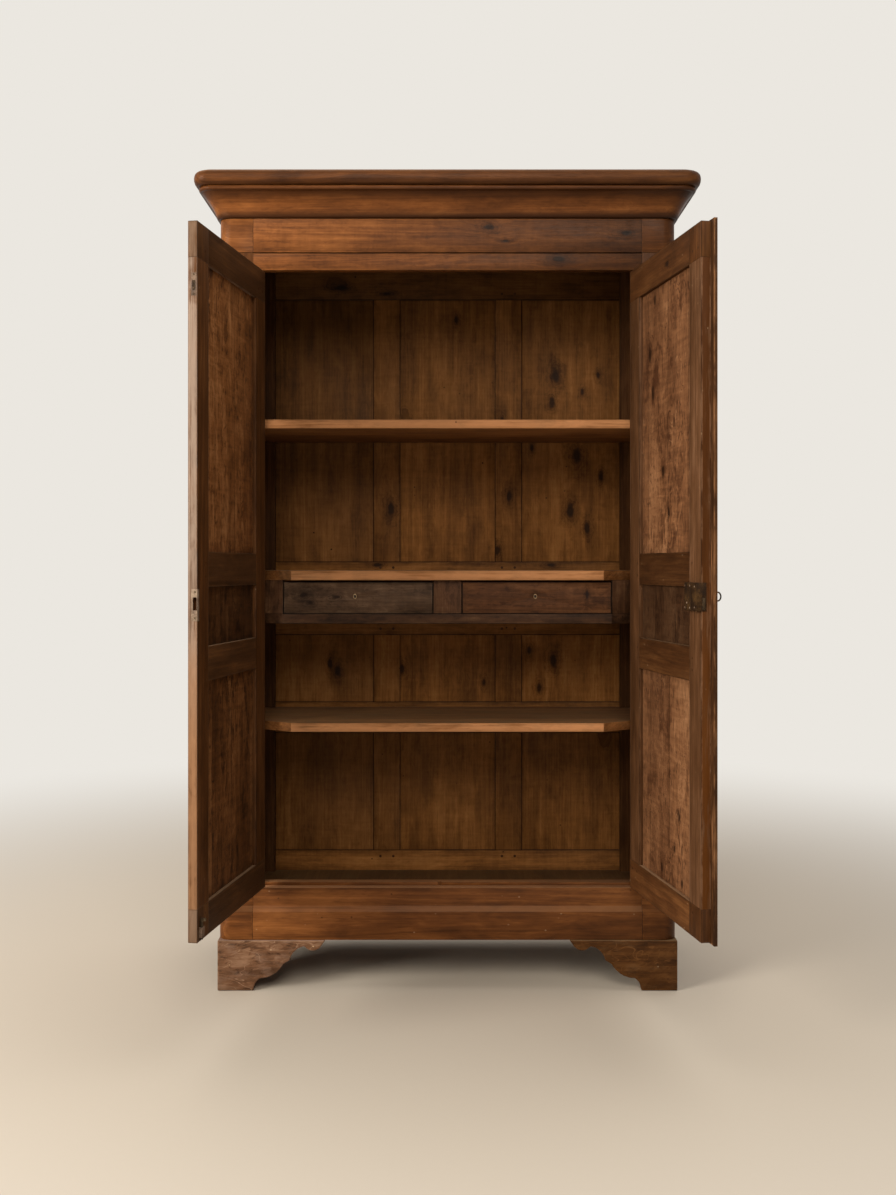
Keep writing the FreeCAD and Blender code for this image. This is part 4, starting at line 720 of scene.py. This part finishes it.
# The axis that the grain follows where it isn't a board's longest side, for all its boards or
# for each. The front posts are sawn in three, and only the middle one's grain stands. The
# doors' long rails are sawn where the stiles pass over their ends.
GRAIN_WAYS = {
    "left_door_panels": 2, "right_door_panels": 2, "left_side_panels": 2,
    "right_side_panels": 2, "back_panels": 2, "drawer_frame_stiles": 2, "floor_boards": 1,
    "foot_blocks": 2, "left_front_post": (0, 2, 0), "right_front_post": (0, 2, 0),
    "left_door_rails": (None, 2, None, None, None, 2),
    "right_door_rails": (2, None, None, None, 2, None),
}
# Boards that share their corners' vertices, so that easing would open them
CLOSE_JOINTED = ("left_drawer_box", "right_drawer_box")
# Boards sawn through at some levels of one axis, on a shut door
POST_FACES = (2, (0.2795, 2.0275))
STILE_WIDTH = 0.079
FACED = {
    "left_front_post": POST_FACES, "right_front_post": POST_FACES,
    "left_door_rails": (0, (-STILE_WIDTH,)), "right_door_rails": (0, (STILE_WIDTH,)),
}
# How bright each board is, lowest first, and from left to right on one level: partly each
# board's own tone, partly painted light and shade, with the right-hand boards darker, the top
# back rail and top-left back panel darker as in the head's shadow, and the left door's upper
# panel lighter
SHADES = {
    "left_door_panels": (0.8, 0.35, 1.28),
    "right_door_panels": (0.95, 0.25, 1.0),
    "left_door_rails": (0.75, 0.95, 0.95, 0.95, 1.0, 0.95),
    "right_door_rails": (1.1, 1.25, 0.8, 0.64, 1.15, 0.95),
    "upper_shelf": (0.95,), "drawer_top_shelf": (0.9,), "lower_shelf": (1.05,),
    "cornice_cap": (0.72,), "base_rail": (0.88,),
    "left_front_foot": (1.3,), "right_front_foot": (0.62,),
    "frieze_board": (0.84,), "head_rail": (1.0,), "cornice_front": (1.32,),
    "right_door_hinge_stile": (0.82,), "drawer_frame_stiles": (1.0, 1.02, 1.0),
    "left_drawer_front": (1.0,), "right_drawer_front": (0.78,), "drawer_frame_rail": (0.75,),
    "left_front_post": (1.25, 1.05, 1.3), "right_front_post": (0.7, 0.75, 0.6),
    "right_door_meeting_stile": (0.96,),
    "left_door_hinge_stile": (0.6,), "left_door_meeting_stile": (0.75,),
    "back_rails": (1.55, 1.15, 1.15, 0.65),
    "back_panels": (0.92, 1.2, 1.2, 1.1, 1.55, 1.5, 0.75, 1.15, 1.1),
    "back_muntins": (1.0, 1.1, 1.3, 1.35, 1.05, 1.15),
}
# How far the arrises are eased, in metres
EASED = {
    "walnut": 0.0012, "figured_walnut": 0.0008, "worn_walnut": 0.003, "drawer_walnut": 0.0012,
    "shelf_wood": 0.0015, "old_pine": 0.0012, "dark_oak": 0.002, "old_iron": 0.0005,
    "strike_metal": 0.0003, "old_brass": 0.0003,
}


# Boards

def boards_of(mesh):
    """The loose boards of a mesh, each as a list of its vertices."""
    seen = set()
    for first in mesh.verts:
        if first in seen:
            continue
        seen.add(first)
        board = [first]
        for vertex in board:
            for edge in vertex.link_edges:
                other = edge.other_vert(vertex)
                if other not in seen:
                    seen.add(other)
                    board.append(other)
        yield board


def everything(mesh):
    return mesh.verts[:] + mesh.edges[:] + mesh.faces[:]


def rim_of(cut):
    """The edges that a saw cut leaves."""
    return [item for item in cut["geom_cut"] if isinstance(item, bmesh.types.BMEdge)]


def add(mesh, part):
    """Puts a part into a mesh, and lets the part go."""
    spare = bpy.data.meshes.new("part")
    part.to_mesh(spare)
    part.free()
    mesh.from_mesh(spare)
    bpy.data.meshes.remove(spare)


def without_boards(mesh, chosen):
    """A copy of a mesh without the boards that a test chooses."""
    kept = mesh.copy()
    lost = [vertex for board in boards_of(kept) if chosen(board) for vertex in board]
    bmesh.ops.delete(kept, geom=lost, context="VERTS")
    return kept


TENON = 0.06  # a board that passes a level by less isn't sawn there


def faced(mesh, axis, levels):
    """Boards sawn through at some levels of one axis, where they pass one by more than a tenon."""
    def passes(board):
        places = [vertex.co[axis] for vertex in board]
        return any(min(places) < level - TENON and max(places) > level + TENON
                   for level in levels)

    joined = without_boards(mesh, passes)
    long_boards = without_boards(mesh, lambda board: not passes(board))
    for low, high in zip((None,) + levels, levels + (None,)):
        board = long_boards.copy()
        for level, side in ((low, -1), (high, 1)):
            if level is None:
                continue
            place, facing = Vector(), Vector()
            place[axis] = level
            facing[axis] = side
            cut = bmesh.ops.bisect_plane(board, geom=everything(board), plane_co=place,
                                         plane_no=facing, clear_outer=True)
            bmesh.ops.triangle_fill(board, use_beauty=True, use_dissolve=True,
                                    edges=rim_of(cut))
        bmesh.ops.recalc_face_normals(board, faces=board.faces)
        add(joined, board)
    long_boards.free()
    mesh.free()
    return joined


def mark_grain(mesh, shut, way=None, shades=None):
    """Writes each board's own directions, half sizes, draw and shade on its vertices.

    The shades come lowest board first, and from left to right on one level.
    """
    layers = mesh.verts.layers
    grain, half, draw = (layers.float_vector.new(name) for name in ("grain", "half", "draw"))
    shade = layers.float.new("shade")
    boards = sorted(boards_of(mesh), key=lambda board: [
        round(min(place[axis] for place in (shut @ vertex.co for vertex in board)), 4)
        for axis in (2, 0)])
    ways = way if isinstance(way, tuple) else [way] * len(boards)
    for board, way, board_shade in zip(boards, ways, shades or [None] * len(boards)):
        spots = [shut @ vertex.co for vertex in board]
        low = Vector(map(min, zip(*spots)))
        high = Vector(map(max, zip(*spots)))
        size = high - low
        order = sorted(range(3), key=lambda axis: -size[axis])
        if way is not None:
            order.remove(way)
            order.insert(0, way)
        middle = (low + high) / 2
        lot = Vector([DRAW.random(), DRAW.random(), DRAW.random()])
        own_shade = DRAW.uniform(0.92, 1.08)
        if board_shade is not None:
            own_shade = board_shade
        for vertex, spot in zip(board, spots):
            place = spot - middle
            vertex[grain] = [place[axis] for axis in order]
            vertex[half] = [size[axis] / 2 for axis in order]
            vertex[draw] = lot
            vertex[shade] = own_shade


def new_piece(name, mesh, finish, body, slot):
    """Keeps a mesh as a piece with one finish, which rides on a body."""
    data = bpy.data.meshes.new(name)
    mesh.to_mesh(data)
    mesh.free()
    data.materials.append(finish)
    piece = bpy.data.objects.new(name, data)
    bpy.context.scene.collection.objects.link(piece)
    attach(piece, body)
    return piece


def eased_copy(node):
    """A copy of a solid with its arrises eased, which stands for it."""
    slot = SLOTS[node]
    body = BODIES[node]
    shut = stance(body).inverted()
    mesh = bmesh.new()
    mesh.from_mesh(frame["nodes"][node].data)
    bmesh.ops.remove_doubles(mesh, verts=mesh.verts, dist=1e-6)
    bmesh.ops.dissolve_limit(mesh, angle_limit=math.radians(0.5), verts=mesh.verts,
                             edges=mesh.edges)
    if node in FACED:
        bmesh.ops.transform(mesh, verts=mesh.verts, matrix=shut)
        mesh = faced(mesh, *FACED[node])
        bmesh.ops.transform(mesh, verts=mesh.verts, matrix=stance(body))
    mark_grain(mesh, shut, GRAIN_WAYS.get(node), SHADES.get(node))
    for face in mesh.faces:
        face.smooth = node not in CLOSE_JOINTED
    piece = new_piece(node + "_eased", mesh, OTHER_FINISHES.get(node, FINISHES[slot]), body, slot)
    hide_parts(node)
    if node in CLOSE_JOINTED:
        return
    bevel = piece.modifiers.new("eased", "BEVEL")
    bevel.width = EASED[slot]
    bevel.segments = 2
    bevel.limit_method = "ANGLE"
    bevel.angle_limit = math.radians(32)
    bevel.use_clamp_overlap = True
    bevel.harden_normals = True
    bevel.material = -1


for node in sorted(SLOTS):
    eased_copy(node)


# Fasteners and small work

# Turns a head that faces up to face a shut door's inside, outside or free edge
TOWARDS = {
    "in": Matrix.Rotation(math.radians(-90), 4, "X"),
    "out": Matrix.Rotation(math.radians(90), 4, "X"),
    "right": Matrix.Rotation(math.radians(90), 4, "Y"),
    "up": Matrix.Identity(4),
}


def screw_head(radius, rise):
    """A slotted head, its slot sunk between the two halves of its face."""
    head = bmesh.new()
    bmesh.ops.create_cone(head, cap_ends=True, segments=16, radius1=radius,
                          radius2=radius * 0.82, depth=rise)
    slot = radius * 0.16
    for side in (-slot, slot):
        bmesh.ops.bisect_plane(head, geom=everything(head), plane_co=(side, 0, 0),
                               plane_no=(1, 0, 0))
    strip = [face for face in head.faces
             if face.normal.z > 0.9 and abs(face.calc_center_median().x) < slot]
    bmesh.ops.inset_individual(head, faces=strip, thickness=slot * 0.2)
    sunk = bmesh.ops.extrude_discrete_faces(head, faces=strip)["faces"]
    bmesh.ops.translate(head, verts=list({vertex for face in sunk for vertex in face.verts}),
                        vec=(0, 0, -rise * 0.6))
    return head


def round_head(radius, rise):
    """A low domed head, as of a nail, rivet or peg."""
    head = bmesh.new()
    bmesh.ops.create_uvsphere(head, u_segments=12, v_segments=8, radius=radius)
    cut = bmesh.ops.bisect_plane(head, geom=everything(head), dist=1e-7, plane_co=(0, 0, 0),
                                 plane_no=(0, 0, -1), clear_outer=True)
    bmesh.ops.edgeloop_fill(head, edges=rim_of(cut))
    bmesh.ops.scale(head, verts=head.verts, vec=(1, 1, rise / radius))
    return head


def soft_block(low, high, ease):
    """A small plate or strip between two corners, with eased edges."""
    block = bmesh.new()
    bmesh.ops.create_cube(block, size=1)
    low, high = Vector(low), Vector(high)
    bmesh.ops.scale(block, verts=block.verts, vec=high - low)
    bmesh.ops.translate(block, verts=block.verts, vec=(low + high) / 2)
    bmesh.ops.bevel(block, geom=block.edges[:], offset=ease, offset_type="OFFSET", segments=2,
                    profile=0.5, affect="EDGES", material=-1)
    return block


def small_work(name, body, mesh, finish, slot):
    """Marks a small piece for wood grain, opens it with its door and keeps it."""
    bmesh.ops.recalc_face_normals(mesh, faces=mesh.faces)
    mark_grain(mesh, Matrix.Identity(4))
    bmesh.ops.transform(mesh, verts=mesh.verts, matrix=stance(body))
    new_piece(name, mesh, finish, body, slot)


def fixings(name, body, kind, facing, places, finish, slot):
    """One piece of small heads on a shut body, each turned its own way."""
    shape, radius, rise = kind
    mesh = bmesh.new()
    for place in places:
        head = shape(radius, rise)
        turn = Matrix.Rotation(DRAW.uniform(0, math.pi), 4, "Z")
        bmesh.ops.transform(head, verts=head.verts,
                            matrix=Matrix.Translation(place) @ TOWARDS[facing] @ turn)
        add(mesh, head)
    small_work(name, body, mesh, finish, slot)


# The small heads: the form, radius and rise of each kind, in metres
DOOR_PEG = (round_head, 0.0036, 0.0005)
BACK_PEG = (round_head, 0.0042, 0.0006)
NAIL = (round_head, 0.003, 0.0006)
RIVET = (round_head, 0.0024, 0.0011)
PIN = (round_head, 0.0014, 0.0007)
STRIKE_SCREW = (screw_head, 0.003, 0.0008)
PLATE_SCREW = (screw_head, 0.0028, 0.0008)

# Faces that the wooden joints' and the floor's heads stand on, and how deep they sit in them
BED = 0.0001
DOOR_OUTSIDE = shut_box("right_door_rails")[0].y + BED
DOOR_INSIDE = shut_box("right_door_rails")[1].y - BED
BACK_FRONT = shut_box("back_rails")[0].y + BED
FLOOR_TOP = shut_box("floor_boards")[1].z - BED

# Nails in the floor, and pegs in pairs where the back's muntins meet its rails
NAILS_ACROSS = (-0.49, -0.27, -0.12, 0.12, 0.27, 0.49)
NAILS_DEEP = (-0.16, 0.18)
MUNTIN_MIDDLE = 0.189
BACK_PEG_PAIR = (-0.02, 0.02)
BACK_PEG_LEVELS = (0.262, 0.664, 0.724, 0.97, 1.16, 2.012)

# Pegs in a door: two side by side in the long rails' joints, one over another in the short ones'
DOOR_PEG_PAIR = (-0.018, 0.018)
LONG_RAIL_PEGS = (0.342, 1.912)
LONG_RAIL_STILES = (0.041, 0.49)
SHORT_RAIL_PEGS = (0.918, 0.946, 1.14, 1.172)
SHORT_RAIL_STILES = (0.062, 0.468)
# Where the lock and the foot bolt leave no room for a peg
LOCK_LEVELS = (1.05, 1.15)
FOOT_BOLT_REACH = 0.03
FOOT_BOLT_TOP = 0.35


def door_pegs(door, side):
    """Pegs through a door's joints, but for those under the lock and beside the foot bolt."""
    pegs = []
    for x in LONG_RAIL_STILES:
        pegs += [(side * (x + across), z) for across in DOOR_PEG_PAIR for z in LONG_RAIL_PEGS]
    for x in SHORT_RAIL_STILES:
        pegs += [(side * x, z) for z in SHORT_RAIL_PEGS]
    for face, facing, y in (("inner", "in", DOOR_INSIDE), ("outer", "out", DOOR_OUTSIDE)):
        locked = side > 0 and facing == "in"
        shown = [(x, y, z) for x, z in pegs
                 if not (locked and abs(x) < STILE_WIDTH and LOCK_LEVELS[0] < z < LOCK_LEVELS[1])
                 and not (abs(x) < FOOT_BOLT_REACH and z < FOOT_BOLT_TOP)]
        fixings(f"{door}_{face}_pegs", door, DOOR_PEG, facing, shown, PEG_WOOD, "walnut")


# The corner of the lock case that its cap is measured from, and how far the cap and the foot
# beside it stand out
LOCK_LOW, LOCK_HIGH = shut_box("lock_case")
LOCK_CORNER = Vector((LOCK_LOW.x, LOCK_HIGH.y, LOCK_LOW.z))
CAP_RISE = 0.002
FOOT_RISE = 0.0008


def lock_cap():
    """The lock's cap, the ridge beside it, and its foot with a raised strip."""
    lock = bmesh.new()
    for across, out, up, ease in (
            ((0.035, 0.0755), (-0.0005, CAP_RISE), (0.0025, 0.0645), 0.0007),
            ((0.0295, 0.0322), (-0.0005, 0.0025), (0.002, 0.065), 0.0006),
            ((0.007, 0.0265), (-0.0002, FOOT_RISE), (0.0035, 0.0635), 0.0004),
            ((0.015, 0.0195), (0.0006, 0.0016), (0.023, 0.045), 0.0004)):
        low, high = (LOCK_CORNER + Vector(end) for end in zip(across, out, up))
        add(lock, soft_block(low, high, ease))
    small_work("lock_cap", "right_door", lock, LOCK, "old_iron")


def lock_rivets():
    """Rivets at the cap's corners and under its key, and two on the foot."""
    places = [(across, CAP_RISE, up) for across in (0.0395, 0.071) for up in (0.0075, 0.0595)]
    places += [(0.0125, FOOT_RISE, up) for up in (0.009, 0.058)]
    places.append((0.059, CAP_RISE, 0.019))
    fixings("lock_rivets", "right_door", RIVET, "in",
            [LOCK_CORNER + Vector(place) for place in places], STRIKE, "strike_metal")


def strike_screws():
    low, high = shut_box("strike_plate")
    fixings("strike_screws", "left_door", STRIKE_SCREW, "right",
            [(high.x, low.y + 0.0095, z) for z in (low.z + 0.007, high.z - 0.007)],
            IRON, "old_iron")


def bolt_plate_screws():
    """Screws near the ends of the edge bolt's plate, which reaches the plates' top."""
    bolt_low, bolt_high = shut_box("edge_bolt")
    _, plate_high = shut_box("door_bolt_plates")
    fixings("bolt_plate_screws", "left_door", PLATE_SCREW, "right",
            [(plate_high.x, (bolt_low.y + bolt_high.y) / 2, plate_high.z - drop)
             for drop in (0.0495, 0.0045)], IRON, "old_iron")


def escutcheon_pins():
    low, high = shut_box("key_escutcheon")
    level = JOINTS["key"]["pos_m"][2]
    fixings("escutcheon_pins", "right_door", PIN, "out",
            [((low.x + high.x) / 2, low.y + 0.0004, level + rise) for rise in (-0.018, 0.018)],
            BRASS, "old_brass")


def keyhole_rim(name, body, node):
    """A thin raised rim round a drawer's keyhole, taller than wide."""
    low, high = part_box(node)
    rim = bmesh.new()
    bmesh.ops.create_circle(rim, segments=10, radius=0.0009,
                            matrix=Matrix.Translation((0.0042, 0, 0)) @ TOWARDS["out"])
    bmesh.ops.spin(rim, geom=rim.verts[:] + rim.edges[:], cent=(0, 0, 0), axis=(0, 0, 1),
                   angle=math.tau, steps=28, use_merge=True, use_duplicate=False)
    bmesh.ops.scale(rim, verts=rim.verts, vec=(1, 1.45, 1))
    bmesh.ops.transform(rim, verts=rim.verts, matrix=Matrix.Translation(
        ((low[0] + high[0]) / 2, low[1], (low[2] + high[2]) / 2)) @ TOWARDS["out"])
    small_work(name, body, rim, BRASS, "old_brass")


door_pegs("left_door", -1)
door_pegs("right_door", 1)
fixings("floor_nails", "case", NAIL, "up",
        [(x, y, FLOOR_TOP) for x in NAILS_ACROSS for y in NAILS_DEEP], IRON, "old_iron")
fixings("back_pegs", "case", BACK_PEG, "out",
        [(side * (MUNTIN_MIDDLE + across), BACK_FRONT, z) for side in (-1, 1)
         for across in BACK_PEG_PAIR for z in BACK_PEG_LEVELS], PEG_WOOD, "old_pine")
lock_cap()
keyhole_rim("left_keyhole_rim", "left_drawer", "left_drawer_keyhole")
keyhole_rim("right_keyhole_rim", "right_drawer", "right_drawer_keyhole")
lock_rivets()
strike_screws()
bolt_plate_screws()
escutcheon_pins()


# Ground, light and camera

BACKGROUND = tint(235, 231, 224)
GROUND = (tint(215, 206, 193), tint(190, 178, 162))
GROUND_RADIUS = 30
GROUND_DROP = 0.0005  # keeps the ground just clear of the feet
FADE_FROM, FADE_TO = 1.0, 4.2  # where the ground goes over into the pale distance
ROOM_LIGHT = 0.13
ROOM_TONE = tint(255, 250, 243)

# The photograph's viewing place and angle, level and straight on
EYE = (0.00275, -3.723, 1.165)
LENS = 38.11
SENSOR = 36
SHIFT = (-0.0004, -0.0264)


def seen_rays(finish):
    """1 for rays that show the ground itself, straight, in a gloss or through glass."""
    path = finish.node("ShaderNodeLightPath").socket.node.outputs
    straight, gloss, through = (
        Reading(finish, path[name])
        for name in ("Is Camera Ray", "Is Glossy Ray", "Is Transmission Ray"))
    return straight.most(gloss).most(through)


def ground():
    """A plain pale floor that fades into the pale distance and keeps the shadow."""
    mesh = bmesh.new()
    bmesh.ops.create_circle(mesh, cap_ends=True, radius=GROUND_RADIUS, segments=96)
    bmesh.ops.translate(mesh, verts=mesh.verts, vec=(0, 0, -GROUND_DROP))
    data = bpy.data.meshes.new("ground")
    mesh.to_mesh(data)
    mesh.free()
    finish = Finish(bpy.data.materials.new("pale_ground"))
    place = finish.place()
    far = finish.step(finish.vector("LENGTH", place, output="Value"), FADE_FROM, FADE_TO)
    speck = finish.noise(place, (60, 60, 60), 3)
    colour = finish.mix(speck * 0.06, *GROUND)
    floor = finish.node("ShaderNodeBsdfDiffuse", None, {"Color": colour}, "BSDF")
    glow = finish.node("ShaderNodeEmission", None, {"Color": BACKGROUND, "Strength": 1},
                       "Emission")
    seen = seen_rays(finish)
    finish.end(finish.node("ShaderNodeMixShader", None, {0: far * seen, 1: floor, 2: glow},
                           "Shader"))
    data.materials.append(finish.holder)
    plane = bpy.data.objects.new("ground", data)
    bpy.context.scene.collection.objects.link(plane)


def sky():
    """An even light from all round, over a pale distance."""
    world = bpy.data.worlds.new("room")
    bpy.context.scene.world = world
    finish = Finish(world)
    room = finish.node("ShaderNodeBackground", None,
                       {"Color": ROOM_TONE, "Strength": ROOM_LIGHT}, "Background")
    pale = finish.node("ShaderNodeBackground", None,
                       {"Color": BACKGROUND, "Strength": 1}, "Background")
    finish.end(finish.node("ShaderNodeMixShader", None,
                           {0: seen_rays(finish), 1: room, 2: pale}, "Shader"),
               "ShaderNodeOutputWorld")


def new_lamp(name, kind, colour, towards):
    """A lamp that shines one way, linked to the scene; hands back the lamp and its light."""
    data = bpy.data.lights.new(name, kind)
    data.color = colour[:3]
    lamp = bpy.data.objects.new(name, data)
    lamp.rotation_euler = Vector(towards).to_track_quat("-Z", "Y").to_euler()
    bpy.context.scene.collection.objects.link(lamp)
    return lamp, data


def area_lamp(name, place, aim, size, power, colour):
    lamp, data = new_lamp(name, "AREA", colour, Vector(aim) - Vector(place))
    data.shape = "DISK"
    data.size = size
    data.energy = power
    lamp.location = place
    lamp.visible_camera = False


def far_lamp(name, towards, spread, level, colour):
    """An even light from far off; at level 1 a surface square to it shows its own colour."""
    data = new_lamp(name, "SUN", colour, towards)[1]
    data.angle = math.radians(spread)
    data.energy = level * math.pi


def camera():
    data = bpy.data.cameras.new("eye")
    data.sensor_fit = "AUTO"
    data.sensor_width = SENSOR
    data.lens = LENS
    data.shift_x, data.shift_y = SHIFT
    eye = bpy.data.objects.new("eye", data)
    eye.location = EYE
    eye.rotation_euler = (math.radians(90), 0, 0)
    bpy.context.scene.collection.objects.link(eye)
    bpy.context.scene.camera = eye


ground()
sky()
area_lamp("window", (-4.7, -3.7, 2.5), (0.1, -0.3, 1.0), 2.8, 300, tint(255, 247, 234))
area_lamp("room_front", (0.1, -5.2, 3.8), (0, -0.2, 1.0), 2.6, 124, tint(255, 244, 228))
far_lamp("room_back", (-0.1, -0.2, -0.95), 60, 0.42, tint(255, 248, 240))
camera()

bpy.context.scene.view_settings.view_transform = "Standard"
